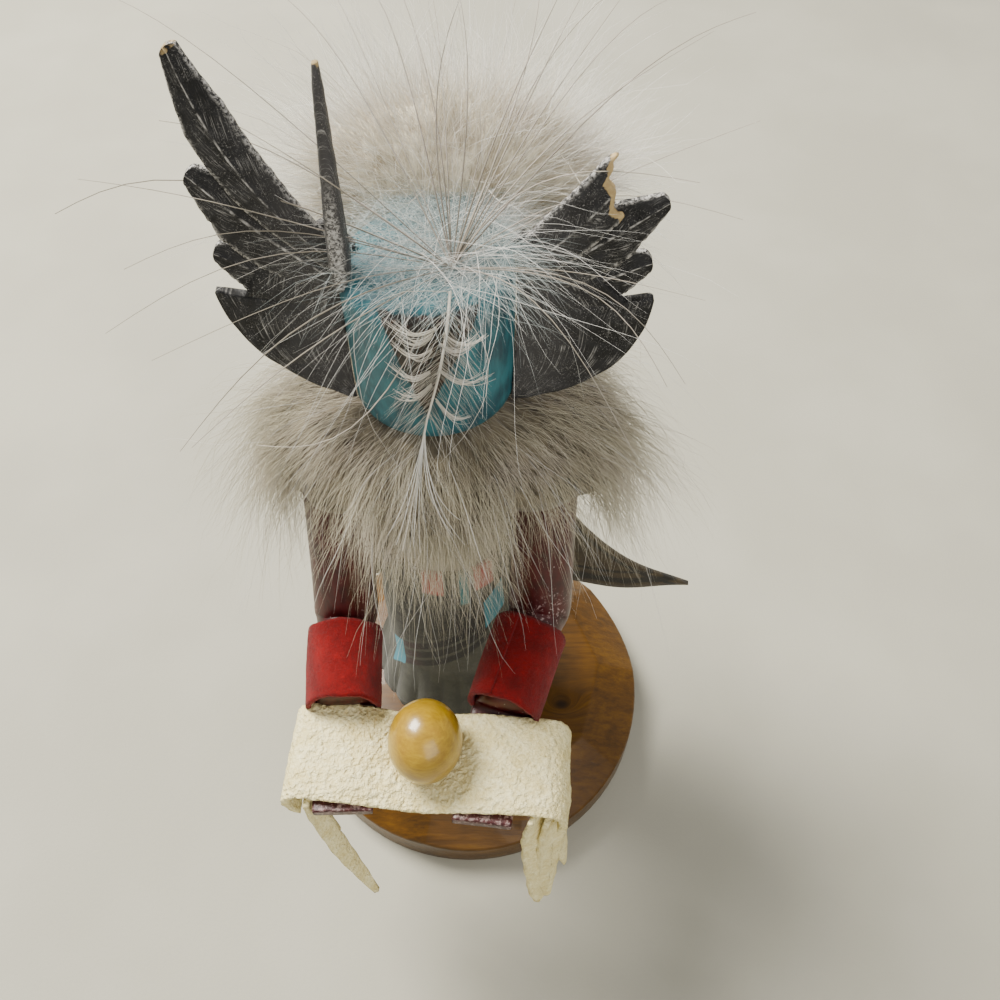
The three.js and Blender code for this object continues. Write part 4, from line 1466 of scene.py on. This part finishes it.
@dataclass
class Wing:
    """A carved wooden wing of three feathers over a web, glued to the helmet's side."""

    side: Side
    web: dict[str, Pair]
    feathers: tuple[Feather, ...]
    tear: tuple[Pair, ...] = ()
    lowest: Pair = (-4.0, 101.7)
    rake: float = 0.184
    plate: float = 1.1
    step: float = 0.55
    room: float = 10.4
    helmet_top: float = 122.6
    notches: Point = (0.58, 0.71, 0.83)

    def make(self) -> None:
        """Build the wing as one piece."""
        shell = self.web_shell()
        for layer, feather in enumerate(self.feathers):
            shell = shell.joined(self.blade(feather, layer))
        shell.points = self.clear_of_helmet(shell.points)
        word = self.side.name.lower()
        build(f"carved_wing_{word}", shell.moved(FIGURE_X), Finish.WING, [f"wing_{word}"])

    def clear_of_helmet(self, points: Array) -> Array:
        """Push points out of the helmet.

        Args:
            points: The wing's points.

        Returns:
            The points, none nearer to the helmet's axis than its side.
        """
        reach = np.sqrt(np.maximum(self.room**2 - points[:, 1] ** 2, 0))
        low = (points[:, 2] < self.helmet_top) & (np.abs(points[:, 0]) < reach)
        points[low, 0] = (self.side.value * reach)[low]
        return points

    def plate_shell(
        self, out: Array, height: Array, across: Array, along: Array, depth: Array | float, marks: dict,
    ) -> Shell:
        """Turn a flat grid into a carved plate.

        Args:
            out: Distances from the helmet's axis.
            height: Heights.
            across: From -1 to 1 over the feather's width.
            along: From 0 to 1 to its tip.
            depth: How far its front face lies behind the wing's front plane.
            marks: Numbers on the grid's points, for the finish.

        Returns:
            A closed shell.
        """
        dome = 0.34 * np.abs(across) ** 2.4 - 0.2 * np.exp(-(across / 0.11) ** 2) * marks["quill"]
        barb = 0.05 * np.sin((along * 26 - np.abs(across) * 9) * 3.4)
        plane = self.lowest[0] + self.rake * (height - self.lowest[1]) + depth
        front = plane + dome + barb
        back = np.maximum(plane + self.plate - 0.2 * np.abs(across) ** 3, front + 0.35)
        points = np.vstack([
            np.stack([self.side.value * out, y, height], axis=-1).reshape(-1, 3) for y in (front, back)
        ])
        uv = np.stack([across, along], axis=-1).reshape(-1, 2)
        both = {key: np.tile(np.asarray(value, float).reshape(-1), 2) for key, value in marks.items()}
        rows, columns = out.shape
        lines = np.arange(rows * columns).reshape(rows, columns)
        border = [pair for edge in (lines[:, 0], lines[:, -1], lines[0], lines[-1])
                  for pair in zip(edge[:-1].tolist(), edge[1:].tolist())]
        return Shell(points, plate_faces(rows, columns, border), np.vstack([uv, uv]), both)

    def blade(self, feather: Feather, layer: int) -> Shell:
        """Return one feather.

        Args:
            feather: Its sizes.
            layer: How many feathers lie in front of it.

        Returns:
            A closed shell.
        """
        root, tip = np.array(feather.root), np.array(feather.tip)
        length = float(np.linalg.norm(tip - root))
        dx, dy = (tip - root) / length
        rows, tip_rows = 54, 6
        t = np.concatenate([np.linspace(0, 1, rows), np.ones(tip_rows)])[:, None]
        extra = np.concatenate([np.zeros(rows), np.linspace(0.16, 0.98, tip_rows)])[:, None]
        half = feather.wide * np.minimum(1, 0.5 + t) * np.minimum(1, feather.blunt + 2.6 * (1 - t))
        notch = sum(np.exp(-((t - place) / 0.011) ** 2) for place in self.notches)
        s = np.linspace(-1, 1, 21)[None]
        half = half * np.cos(extra * math.pi / 2) * (1 + 0.018 * np.sin(t * 90 + layer))
        width = s * half * (1 - (0.1 if layer else 0.02) * notch * (np.abs(s) ** 5) * (s > 0))
        lean = -feather.bow * (1 - (2 * t - 1) ** 2)
        ahead = t * length + feather.wide * feather.blunt * 0.5 * np.sin(extra * math.pi / 2)
        out = root[0] + ahead * dx + (lean + width) * dy
        height = root[1] + ahead * dy - (lean + width) * dx
        bare = 0 * out
        if self.tear and layer == 0:
            out, height, bare = self.broken(out, height)
        elif layer == 0:
            bare = np.clip((t + extra - 0.955) / 0.1, 0, 1) * 0.5 + 0 * s
        # Where the painted shade of the slit between feathers lies, at the notches.
        slit_shade = np.clip(notch, 0, 1) * (s > 0.45) * (layer > 0) + 0 * out
        marks = {"bare": bare, "quill": 1.0 + 0 * out, "slit_shade": slit_shade * 0.9}
        across, along = s + 0 * out, t + 0 * out
        return self.plate_shell(out, height, across, along, layer * self.step, marks)

    def broken(self, out: Array, height: Array) -> tuple[Array, Array, Array]:
        """End the top feather at the ragged line where it broke.

        Args:
            out: The whole feather's distances from the axis.
            height: Its heights.

        Returns:
            The shortened grid, and how bare the wood is at each point.
        """
        levels = np.array([p[1] for p in self.tear])[::-1]
        limits = np.array([p[0] for p in self.tear])[::-1]
        rows = out.shape[0]
        new_out, new_height, bare = out.copy(), height.copy(), np.zeros_like(out)
        for j in range(out.shape[1]):
            edge = np.interp(height[:, j], levels, limits) + 0.14 * math.sin(j * 2.1)
            beyond = np.nonzero((out[:, j] > edge) & (height[:, j] > levels[0] - 0.6))[0]
            last = beyond[0] if len(beyond) else rows - 1
            share = np.linspace(0, last, rows)
            new_out[:, j] = np.interp(share, np.arange(rows), out[:, j])
            new_height[:, j] = np.interp(share, np.arange(rows), height[:, j])
            if len(beyond):
                bare[:, j] = np.clip((np.linspace(0, 1, rows) - 0.93) / 0.06, 0, 1)
        return new_out, new_height, bare

    def web_shell(self) -> Shell:
        """Return the plate behind the feathers, a fan from the helmet's side to its rim."""
        low, swell, tip, top = (np.array(self.web[k]) for k in ("low", "swell", "tip", "top"))
        q = np.linspace(1, 0, 30)[:, None]
        arc = (1 - q) ** 2 * low + 2 * q * (1 - q) * swell + q**2 * tip
        chain = np.vstack([top, top + [8, -5], tip + [-3.4, -0.6], arc])
        step = np.concatenate([[0], np.cumsum(np.linalg.norm(np.diff(chain, axis=0), axis=1))])
        count, columns = 56, 26
        places = np.linspace(0, step[-1], count)
        rim = np.stack([np.interp(places, step, chain[:, i]) for i in (0, 1)], axis=-1)
        inner = np.stack([np.full(count, 8.0), np.linspace(top[1] - 3, low[1] + 0.2, count)], axis=-1)
        share = np.linspace(0, 1, columns)[None, :, None]
        grid = inner[:, None] + (rim - inner)[:, None] * share
        out, height = grid[..., 0], grid[..., 1]
        across = np.linspace(-1, 1, count)[:, None] + 0 * out
        along = np.linspace(0, 1, columns)[None] + 0 * out
        zero = 0 * out
        marks = {"bare": zero, "quill": zero, "slit_shade": zero}
        lines = np.abs(np.sin(across * 9)) ** 6 * 0.16 * along
        return self.plate_shell(out, height, across * 0.6, along, self.step * 1.4 + lines, marks)


@dataclass
class SpikeFeather:
    """A single narrow feather stood on edge beside the right wing."""

    def make(self) -> None:
        """Build the feather."""
        foot, tip = (-9.35, -2.9, 120.6), (-8.9, 0.0, 145.4)
        stations = [
            [*foot, 1.1, 1.5, 2.4],
            [*mixed(foot, tip, 0.15), 1.2, 1.6, 3.5],
            [*mixed(foot, tip, 0.4), 0.98, 1.5, 3.5],
            [*mixed(foot, tip, 0.65), 0.74, 1.2, 3.5],
            [*mixed(foot, tip, 0.9), 0.52, 0.8, 3],
            [*tip, 0.34, 0.4, 2],
        ]
        shell = swept(stations, 20, 60)
        t = np.clip((shell.points[:, 2] - foot[2]) / (tip[2] - foot[2]), 0, 1)
        shell.points[:, 0] += 0.07 * lumps(shell.points, 1.6, 3.0)
        shell.uv = np.stack([(shell.points[:, 1] - (foot[1] + (tip[1] - foot[1]) * t)) / 1.6, t], axis=-1)
        zero = np.zeros(len(t))
        shell.marks = {"bare": np.clip((t - 0.96) / 0.04, 0, 1) * 0.6, "quill": zero + 0.5, "slit_shade": zero}
        build("carved_spike_feather", shell.moved(FIGURE_X), Finish.WING, ["spike_feather"])


@dataclass
class SuedeCape:
    """The stiff cape down the back, flared to a far corner on the figure's left."""

    top: float = 91.0
    hem: float = 37.0
    right: float = 43.4
    left: float = 23.5
    shoulder: float = 15.5
    thickness: float = 0.95

    def make(self) -> None:
        """Build the cape."""
        rows, columns = 84, 50
        u = np.linspace(-1, 1, rows)[:, None]
        low = np.linspace(0, 1, columns)[None]
        wide_right = self.shoulder + (self.right - self.shoulder) * low**3.2
        wide_left = self.shoulder + (self.left - self.shoulder) * low**2
        x = np.where(u > 0, u * wide_right, u * wide_left)
        hem = self.hem + 3 * (x / self.right) ** 2
        z = self.top - (self.top - hem) * low
        back = 10.9 + 2.6 * np.minimum(1, low * 1.6)
        y = 3.6 + (back - 3.6) / (1 + (x / 17) ** 2)
        y = y + 0.35 * np.sin(x * 0.32 + 1) * low + 0.2 * np.sin(z * 0.3)
        grid = np.stack([x, y, z], axis=-1)
        shell = sheet_shell(grid, self.thickness)
        piece = build("suede_cape", shell.moved(FIGURE_X), Finish.CAPE, ["cape"])


@dataclass
class FurRuff:
    """The fur collar: an under-hair core coloured with painted shade, dense combed locks and long loose guard
    hairs.

    The outline's points are a share of the way from the neck to the rim, and a height.
    """

    inner: float = 7.7
    front: float = 15.5
    flank: float = 24.2
    back: float = 24.0
    locks: int = 16
    leaders: int = 260
    seed: int = 11
    layers: tuple[HairLayer, ...] = (
        HairLayer("fur_ruff_under_hair", 6600, 4, (4.5, 8.0), 0.042, 0.5),
        HairLayer("fur_ruff_locks", 5300, 5, (7.0, 11.5), 0.038, 0.62),
        HairLayer("fur_ruff_top_hair", 2500, 6, (9.0, 16.0), 0.034, 0.5),
        HairLayer("fur_ruff_guard_hair", 240, 10, (14.0, 20.0), 0.036, 0.0, Finish.DOWN),
    )
    outline: tuple[Pair, ...] = (
        (0, 96.5), (0.35, 93.4), (0.7, 89.6), (0.92, 87.6), (1.0, 89.8), (0.96, 93.6), (0.78, 97.4),
        (0.45, 99.6), (0.15, 100.3), (0, 100.4),
    )

    def make(self) -> None:
        """Build the collar's core and its hair."""
        core = self.core()
        # The core wears the painted shade of fur deep in shadow.
        build("fur_ruff_core", core.moved(FIGURE_X), Finish.RUFF_CORE_SHADE, ["fur_ruff"])
        rng = np.random.default_rng(self.seed)
        for number, layer in enumerate(self.layers):
            strands = self.combed_locks(rng, core, layer)
            strands.lines[..., 0] += FIGURE_X
            grow(layer.name, strands, layer.finish, layer.radius, self.seed + number)

    def reach(self, angle: Array) -> Array:
        """Return how far the under-hair reaches at each angle round the neck."""
        ahead, behind = np.sin(angle) < 0, np.maximum(0, np.sin(angle))
        before = self.front + (self.flank - self.front) * np.abs(np.cos(angle)) ** 5
        return np.where(ahead, before, self.flank + (self.back - self.flank) * behind**1.5)

    def core(self) -> Shell:
        """Return the closed body of under-hair."""
        ring = smooth_path(np.array(self.outline + self.outline[:1]), np.linspace(0, 1, 57))[:-1]
        sides = 150
        angle = np.linspace(0, 2 * math.pi, sides, endpoint=False)
        lock = 1 - (2 * np.abs((angle * self.locks / (2 * math.pi)) % 1 - 0.5)) ** 2
        share = np.clip(ring[:, :1], 0, 1.02)
        uneven = 1 + 0.07 * (lock - 0.5) + 0.04 * np.sin(angle * 3 + 1)
        radius = self.inner + share * (self.reach(angle) * uneven - self.inner)
        drop = share**1.5 * (4.0 * np.maximum(0, np.sin(angle)) + 3.2 * np.abs(np.cos(angle)) ** 4)
        height = ring[:, 1:] - drop + 0 * radius
        points = np.stack([radius * np.cos(angle), radius * np.sin(angle), height], axis=-1).reshape(-1, 3)
        rise = lumps(points, 3.0, 12.0) * np.repeat(share[:, 0], sides)
        points[:, :2] *= (1 + 0.035 * rise)[:, None]
        swell = lumps(points, 7.5, 5.0) * np.repeat(share[:, 0], sides)
        points[:, :2] *= (1 + 0.055 * swell)[:, None]
        points[:, 2] += 0.6 * rise + 0.8 * swell
        faces = []
        for i in range(len(ring)):
            for j in range(sides):
                k, below = (j + 1) % sides, (i + 1) % len(ring) * sides
                faces.append((i * sides + j, i * sides + k, below + k, below + j))
        return Shell(points, faces)

    def combed_locks(self, rng: Random, core: Shell, layer: HairLayer) -> Strands:
        """Grow hairs that lie outwards over the collar and hang at its rim, thinner over the arms.

        Args:
            rng: The random source.
            core: The under-hair.
            layer: The layer's sizes.

        Returns:
            The hairs.
        """
        roots, normals = scattered(rng, core, layer.count * 4)
        radial = unit(roots * np.array([1, 1, 0]))
        middle = radial * (self.inner + 6) + np.array([0, 0, 94.0])
        facing = np.sum(normals * (roots - middle), axis=1)
        normals = np.where((facing < 0)[:, None], -normals, normals)
        over_arm = (np.abs(np.abs(roots[:, 0]) - 14.0) < 5.5) & (roots[:, 1] < -3) & (roots[:, 2] < 95)
        kept = (normals[:, 2] > -0.45) & (rng.uniform(size=len(roots)) > over_arm * 0.86)
        keep = np.nonzero(kept)[0][:layer.count]
        roots, normals, radial = roots[keep], normals[keep], radial[keep]
        turn = np.arctan2(roots[:, 1], roots[:, 0])
        ahead = np.maximum(0, -np.sin(turn))[:, None]
        out = np.linalg.norm(roots[:, :2], axis=1) - self.inner
        edge = np.clip(out / (self.reach(turn) - self.inner), 0, 1)[:, None]
        sink = 0.1 + (0.85 + 0.45 * ahead) * edge**1.5
        fall = radial * (1.0 - 0.4 * edge) + np.array([0, 0, -1.0]) * sink
        fall = unit(fall - normals * np.sum(fall * normals, axis=1, keepdims=True))
        heading = unit(fall + normals * 0.28 + rng.normal(size=roots.shape) * 0.24)
        rim, behind = edge[:, 0] ** 2, (1 - ahead[:, 0]) ** 2
        grown = rng.uniform(*layer.lengths, len(roots)) * (0.85 + 0.45 * rim)
        grown = grown * (1 + 0.25 * lumps(roots, 4.0, 2.0) + 0.3 * rim * behind)
        feet = roots - normals * 0.4
        return combed(rng, feet, heading, grown, layer.steps, 0.42, 0.3, layer.clump, self.leaders)


@dataclass
class CrestPlume:
    """The broad puff of down behind the helmet, and the fine mist and long hairs on its crown.

    All the crown's hairs burst from one place; far_tips is where each of the longest ends.
    """

    seed: int = 23
    centre: Point = (2.6, 13.8, 121.0)
    half: Point = (16.5, 5.6, 10.5)
    burst: Point = (3.1, -3.4, 123.4)
    crown_radius: float = 9.0
    crown_top: float = 123.2
    leaders: int = 330
    puff: tuple[HairLayer, ...] = (
        HairLayer("crest_plume_down", 6900, 4, (5.5, 9.5), 0.036, 0.55, Finish.PUFF),
        HairLayer("crest_plume_fluff", 3200, 5, (8.5, 15.0), 0.036, 0.55, Finish.PUFF),
        HairLayer("crest_plume_wisps", 800, 7, (12.0, 22.0), 0.05, 0.55, Finish.PUFF),
    )
    mist: HairLayer = HairLayer("crown_mist", 2500, 5, (5.0, 15.0), 0.033, 0.0, Finish.MIST)
    guard: HairLayer = HairLayer("crown_guard_hair", 230, 12, (13.0, 36.0), 0.031, 0.0, Finish.DOWN)
    far_tips: tuple[Point, ...] = (
        (-42, 0, 128), (-41, 6, 128), (-40, 27, 138), (-20, 29, 137), (-10, 33, 136), (-2, 29, 137),
        (8, 33, 134), (16, 29, 137), (28, 29, 137), (37, 30, 134), (33, 1.5, 126), (28.5, -7, 122),
        (-25, -25, 119), (28, 4, 129), (24, 30, 140), (-36, -2, 122), (-31, -14, 120), (24, -16, 118),
        (36, 14, 130), (3, 22, 143), (-29, -20, 112), (-38, -8, 118), (-26, 10, 134), (14, 24, 142),
        (20, 27, 137), (-6, 27, 140), (31, 24, 135), (-33, 14, 130), (27, -12, 114), (-22, -16, 108),
        (21, -21, 112), (-15, 30, 139), (0, 31, 140), (11, 31, 138),
    )

    def make(self) -> None:
        """Build the puff's core and all its hair."""
        rng = np.random.default_rng(self.seed)
        core = self.core()
        # The core wears the painted shade of down deep in shadow.
        build("crest_plume_core", core.moved(FIGURE_X), Finish.PUFF_CORE_SHADE, ["crest_plume"])
        for number, layer in enumerate(self.puff):
            strands = self.puff_hair(rng, core, layer)
            strands.lines[..., 0] += FIGURE_X
            grow(layer.name, strands, layer.finish, layer.radius, self.seed + number)
        for layer, spread, steepest, seed in ((self.mist, 2.9, 30, 31), (self.guard, 1.6, 40, 37)):
            strands = self.crown_hair(rng, layer, spread, steepest)
            grow(layer.name, strands, layer.finish, layer.radius, seed)
        grow("crown_long_hair", self.far_hair(rng), Finish.QUILL, 0.115, 39, tip=0.42)

    def core(self) -> Shell:
        """Return the closed body of under-down."""
        rows, sides = 44, 90
        polar = np.linspace(0.04, math.pi - 0.04, rows)[:, None]
        angle = np.linspace(0, 2 * math.pi, sides, endpoint=False)[None]
        y = -np.cos(polar) + 0 * angle
        ring = np.sin(polar)
        lock = 1 - (2 * np.abs((angle * 13 / (2 * math.pi)) % 1 - 0.5)) ** 2
        grow_out = 1 + 0.09 * (lock - 0.5) * ring
        x, z = ring * np.cos(angle) * grow_out, ring * np.sin(angle) * grow_out
        points = np.stack([
            self.centre[0] + self.half[0] * x, self.centre[1] + self.half[1] * y + 2.5 * z,
            self.centre[2] + self.half[2] * z,
        ], axis=-1).reshape(-1, 3)
        middle = np.array(self.centre)
        points += (points - middle) * (0.09 * lumps(points, 4.0, 14.0))[:, None]
        front, behind = points[:sides].mean(0), points[-sides:].mean(0)
        return Shell(np.vstack([points, front, behind]), tube_faces(rows, sides))

    def puff_hair(self, rng: Random, core: Shell, layer: HairLayer) -> Strands:
        """Grow the puff's hair outwards from its core; see FurRuff.combed_locks()."""
        roots, normals = scattered(rng, core, layer.count)
        out = roots - np.array(self.centre)
        normals = np.where((np.sum(normals * out, axis=1) < 0)[:, None], -normals, normals)
        away = unit(roots - np.array(self.burst))
        heading = unit(normals * 0.7 + away * 0.85 + rng.normal(size=roots.shape) * 0.3)
        grown = rng.uniform(*layer.lengths, layer.count) * np.where(normals[:, 1] > 0.5, 0.7, 1.0)
        feet = roots - normals * 0.5
        return combed(rng, feet, heading, grown, layer.steps, 0.1, 0.36, layer.clump, self.leaders)

    def crown_hair(self, rng: Random, layer: HairLayer, spread: float, steepest: float) -> Strands:
        """Grow hairs that burst from the crown in every direction.

        Args:
            rng: The random source.
            layer: The layer's sizes.
            spread: How far apart their feet lie, as a share of the crown.
            steepest: The steepest hair's pitch in degrees.

        Returns:
            The hairs.
        """
        count = layer.count
        turn = rng.uniform(0, 2 * math.pi, count)
        pitch = np.radians(rng.uniform(-6, steepest, count))
        level = np.cos(pitch)
        heading = np.stack([np.cos(turn) * level, np.sin(turn) * level, np.sin(pitch)], axis=-1)
        feet = np.array(self.burst) + rng.normal(size=(count, 3)) * np.array([2.0, 1.6, 0.0]) * spread
        feet[:, 1] += np.abs(rng.normal(size=count)) * 3.0 * spread
        off = np.linalg.norm(feet[:, :2], axis=1, keepdims=True)
        feet[:, :2] *= np.minimum(1, self.crown_radius / off)
        feet[:, 2] = self.crown_top
        feet[:, 0] += FIGURE_X
        grown = rng.uniform(*layer.lengths, count) * rng.uniform(0.7, 1.0, count)
        return combed(rng, feet, heading, grown, layer.steps, 0.34, 0.2)

    def far_hair(self, rng: Random) -> Strands:
        """Return the longest hairs, each to a place of its own."""
        steps = 12
        foot = np.array(self.burst) + [FIGURE_X, 0, 0]
        tips = np.array(self.far_tips, float)
        s = np.linspace(0, 1, steps)[None, :, None]
        rise = np.array([0, 0, 1.0]) * (4.5 * np.sin(s * math.pi))
        aside = rng.normal(size=(len(tips), 1, 3)) * 2.6 * np.sin(s * math.pi)
        lines = foot + (tips[:, None] - foot) * s + rise + aside
        return Strands(lines, np.full(len(tips), 1.0), rng.uniform(0, 1, len(tips)))


@dataclass
class FacePlume:
    """A soft feather that hangs over the face: shaft, curved barbs and a fan of tips."""

    seed: int = 41
    steps: int = 12
    barb_count: int = 210
    shaft: tuple[Point, ...] = (
        (3.1, -7.5, 123.8), (2.8, -11.4, 122.1), (2.1, -12.0, 118.0), (1.3, -12.2, 114.1),
        (-0.4, -13.5, 107.7), (-1.9, -17.0, 100.5), (-3.9, -20.5, 92.2),
    )
    fan: tuple[Point, ...] = (
        (-5.5, -20.0, 95.1), (-4.6, -20.4, 93.4), (-3.0, -20.6, 91.9), (-1.7, -20.5, 91.7),
        (-0.8, -19.0, 96.0), (1.1, -18.5, 97.8), (4.0, -20.5, 93.6), (3.5, -19.0, 96.9),
        (-2.4, -20.6, 93.4), (2.6, -19.8, 94.6),
    )
    flat_barbs: tuple[tuple[Point, Point], ...] = (
        ((1.7, -11.8, 122.6), (-3.9, -12.0, 124.2)), ((1.2, -11.8, 121.6), (-3.3, -12.0, 122.6)),
        ((1.0, -11.9, 119.4), (-3.2, -12.1, 120.6)), ((0.6, -12.2, 116.3), (-4.4, -12.0, 117.4)),
        ((0.7, -12.2, 114.1), (-3.9, -12.4, 112.8)), ((1.8, -12.2, 116.3), (8.0, -11.5, 114.8)),
        ((1.1, -12.6, 112.0), (5.0, -12.6, 108.6)), ((2.0, -12.0, 120.3), (6.2, -11.6, 121.0)),
        ((2.4, -11.8, 121.6), (7.2, -11.0, 120.4)),
    )
    loops: tuple[tuple[Point, ...], ...] = (
        (
            (3.1, -7.8, 124.0), (-2.3, -8.6, 124.6), (-7.0, -9.5, 121.6),
            (-7.7, -11.0, 115.8), (-6.7, -13.5, 108.9), (-2.4, -17.5, 103.2),
        ),
        (
            (3.6, -9.0, 124.0), (6.8, -11.8, 119.8), (7.0, -12.4, 115.5),
            (6.5, -12.9, 111.9), (4.2, -14.0, 107.2), (1.2, -15.5, 103.8),
        ),
    )

    def make(self) -> None:
        """Build the plume, and apart from it the pale tips that fan out below the chin."""
        rng = np.random.default_rng(self.seed)
        t = np.linspace(0, 1, self.steps)
        shaft = smooth_path(np.array(self.shaft), t)[None]
        strands = Strands(shaft, np.array([5.0]), np.array([0.95]))
        for start, end in self.flat_barbs:
            strands = strands.also(self.tuft(rng, np.array(start), np.array(end), t))
        foot, neck = np.array(self.shaft[4]), np.array(self.shaft[5])
        q = t[:, None]
        blades = []
        for tip in self.fan:
            knee = neck * 0.8 + np.array(tip) * 0.2
            blades.append((1 - q) ** 2 * foot + 2 * q * (1 - q) * knee + q**2 * np.array(tip))
        tips = Strands(np.array(blades) + [FIGURE_X, 0, 0], np.ones(len(blades)), np.ones(len(blades)))
        grow("face_plume_tips", tips, Finish.DOWN, 0.075, self.seed + 1, tip=0.35)
        loops = np.array([smooth_path(np.array(loop), t) for loop in self.loops])
        strands = strands.also(Strands(loops, np.full(len(loops), 1.1), np.full(len(loops), 0.9)))
        strands = strands.also(self.barbs(rng, t))
        strands.lines[..., 0] += FIGURE_X
        grow("face_plume_feather", strands, Finish.PLUME, 0.055, self.seed, ["face_plume"], tip=0.2)

    def tuft(self, rng: Random, start: Array, end: Array, t: Array) -> Strands:
        """Return one broad barb as a close bundle of fine ones.

        Args:
            rng: The random source.
            start: Where it leaves the shaft.
            end: Where it ends.
            t: The steps.

        Returns:
            The bundle.
        """
        count = 11
        q = t[None, :, None]
        aside = rng.normal(size=(count, 1, 3)) * np.array([0.1, 0.14, 0.3]) * (0.5 + q)
        reach = rng.uniform(0.7, 1.06, (count, 1, 1))
        sag = np.array([0, -0.5, -1.1]) * np.sin(q * math.pi)
        lines = start + (end - start) * q * reach + sag + aside
        return Strands(lines, np.full(count, 1.2), rng.uniform(0.4, 1, count))

    def barbs(self, rng: Random, t: Array) -> Strands:
        """Return the shaft's fine barbs, longest in its middle; t holds the steps."""
        count = self.barb_count
        place = np.sort(rng.uniform(0.08, 0.99, count))
        feet = smooth_path(np.array(self.shaft), place)
        beyond = smooth_path(np.array(self.shaft), np.minimum(place + 0.03, 1.03))
        ahead = unit(beyond - feet + [0, 0, -1e-3])
        side = np.where(rng.uniform(size=count) < 0.5, -1.0, 1.0)[:, None] * np.array([1.0, 0, 0])
        aside = side * (1.1 - 0.85 * place[:, None])
        heading = unit(aside + ahead * 0.9 + rng.normal(size=(count, 3)) * 0.12)
        heading[:, 1] = np.minimum(heading[:, 1], 0.02)
        lengths = (3.0 + 4.5 * np.sin(place * math.pi) + 3.2 * place) * rng.uniform(0.75, 1.1, count)
        made = combed(rng, feet, heading, lengths, len(t), 0.25, 0.2)
        made.width = np.full(count, 0.42)
        return made


# ---- Stage ------------------------------------------------------------------------------------


@dataclass
class Studio:
    """The pale floor, the soft lights and the camera."""

    camera_place: Point = (0.0061, -0.085, 0.1955)
    pitch: float = 55.0
    lens: float = 34.67
    sensor: float = 36.0
    aim: Point = (0.0, 0.0, 0.07)
    world_strength: float = 0.5
    floor_reach: float = 1.5

    def make(self) -> None:
        """Build the floor, the lights and the camera."""
        scene = bpy.context.scene
        data = bpy.data.cameras.new("view")
        data.lens, data.sensor_width, data.clip_start = self.lens, self.sensor, 0.005
        camera = bpy.data.objects.new("view", data)
        camera.location = self.camera_place
        camera.rotation_euler = (math.radians(90 - self.pitch), 0, 0)
        scene.collection.objects.link(camera)
        scene.camera = camera
        self.floor()
        self.light("key", (-0.42, 0.34, 0.75), 0.4, 24.0, (1.0, 0.96, 0.88))
        self.light("fill", (0.3, -0.5, 0.6), 0.6, 3.0, (1.0, 0.97, 0.93))
        world = bpy.data.worlds.new("room")
        world.use_nodes = True
        glow = world.node_tree.nodes["Background"]
        plug(world.node_tree, glow, {0: (1.0, 0.985, 0.96, 1.0), 1: self.world_strength})
        scene.world = world

    def floor(self) -> None:
        """Build the pale floor."""
        mesh = bpy.data.meshes.new("floor")
        reach = self.floor_reach
        corners = [(-reach, -reach, 0), (reach, -reach, 0), (reach, reach, 0), (-reach, reach, 0)]
        mesh.from_pydata(corners, [], [(0, 1, 2, 3)])
        g = Graph("pale_floor")
        color = g.mix(g.noise(0.02, 3.0).rise(0.35, 0.7), rgb(0.655, 0.645, 0.585), rgb(0.685, 0.675, 0.615))
        mesh.materials.append(g.finish(color, 0.9, g.noise(1.5, 4.0), 0.05))
        floor = bpy.data.objects.new("floor", mesh)
        bpy.context.scene.collection.objects.link(floor)

    def light(self, name: str, place: Point, size: float, power: float, color: Point) -> None:
        """Add one soft square light that faces the doll.

        Args:
            name: The light's name.
            place: Where it hangs, in metres.
            size: Its side in metres.
            power: Its power in watts.
            color: Its colour.
        """
        data = bpy.data.lights.new(name, "AREA")
        data.size, data.energy, data.color = size, power, color
        lamp = bpy.data.objects.new(name, data)
        lamp.location = place
        aim = Vector(self.aim) - Vector(place)
        lamp.rotation_euler = aim.to_track_quat("-Z", "Y").to_euler()
        bpy.context.scene.collection.objects.link(lamp)


FULL_WING = Wing(
    Side.RIGHT,
    {"low": (10.9, 101.7), "swell": (23.6, 107.2), "tip": (25, 117), "top": (11, 126)},
    (
        Feather((7.5, 119.5), (23.8, 144), 2.8, -2.9, 0.4),
        Feather((6, 116), (24.6, 131), 4.1, -0.9, 0.34),
        Feather((6, 114), (23.6, 121.6), 3.4, -0.4, 0.42),
    ),
)
BROKEN_WING = Wing(
    Side.LEFT,
    {"low": (11.6, 101.5), "swell": (25.8, 104.4), "tip": (26.6, 116.2), "top": (11, 124.4)},
    (
        Feather((7.5, 118.3), (22, 131.4), 3.1, -0.9, 0.9),
        Feather((6, 116), (26.4, 128), 3.7, -0.6, 0.3),
        Feather((6, 114), (25.2, 120.4), 3.6, -0.4, 0.42),
    ),
    ((20.6, 136), (20.4, 133.2), (19.8, 131.2), (20.8, 129.2), (20.5, 127.8), (22, 126.6)),
)


def plain(box: object) -> list[list[float]]:
    """Return a box's two corners as plain lists."""
    return [[float(c) for c in corner] for corner in box]


def main() -> None:
    """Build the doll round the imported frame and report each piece."""
    logging.basicConfig(level=logging.INFO, format="%(message)s")
    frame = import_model()
    Studio().make()
    WoodenBase().make(frame)
    CarvedFigure().make()
    SuedeDress().make()
    Helmet().make()
    Arm(Side.RIGHT, (-15.6, -12.3, 62), (-15.1, -24.2, 60.9), (-14, -42.3, 57.9), 1.33).make()
    Arm(Side.LEFT, (14.7, -11.7, 62), (10, -25, 60.9), (5.9, -43.9, 57.9), 1.27).make()
    BallOnStrip().make()
    FULL_WING.make()
    BROKEN_WING.make()
    SpikeFeather().make()
    SuedeCape().make()
    FurRuff().make()
    CrestPlume().make()
    FacePlume().make()
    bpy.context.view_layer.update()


if __name__ == "__main__":
    main()
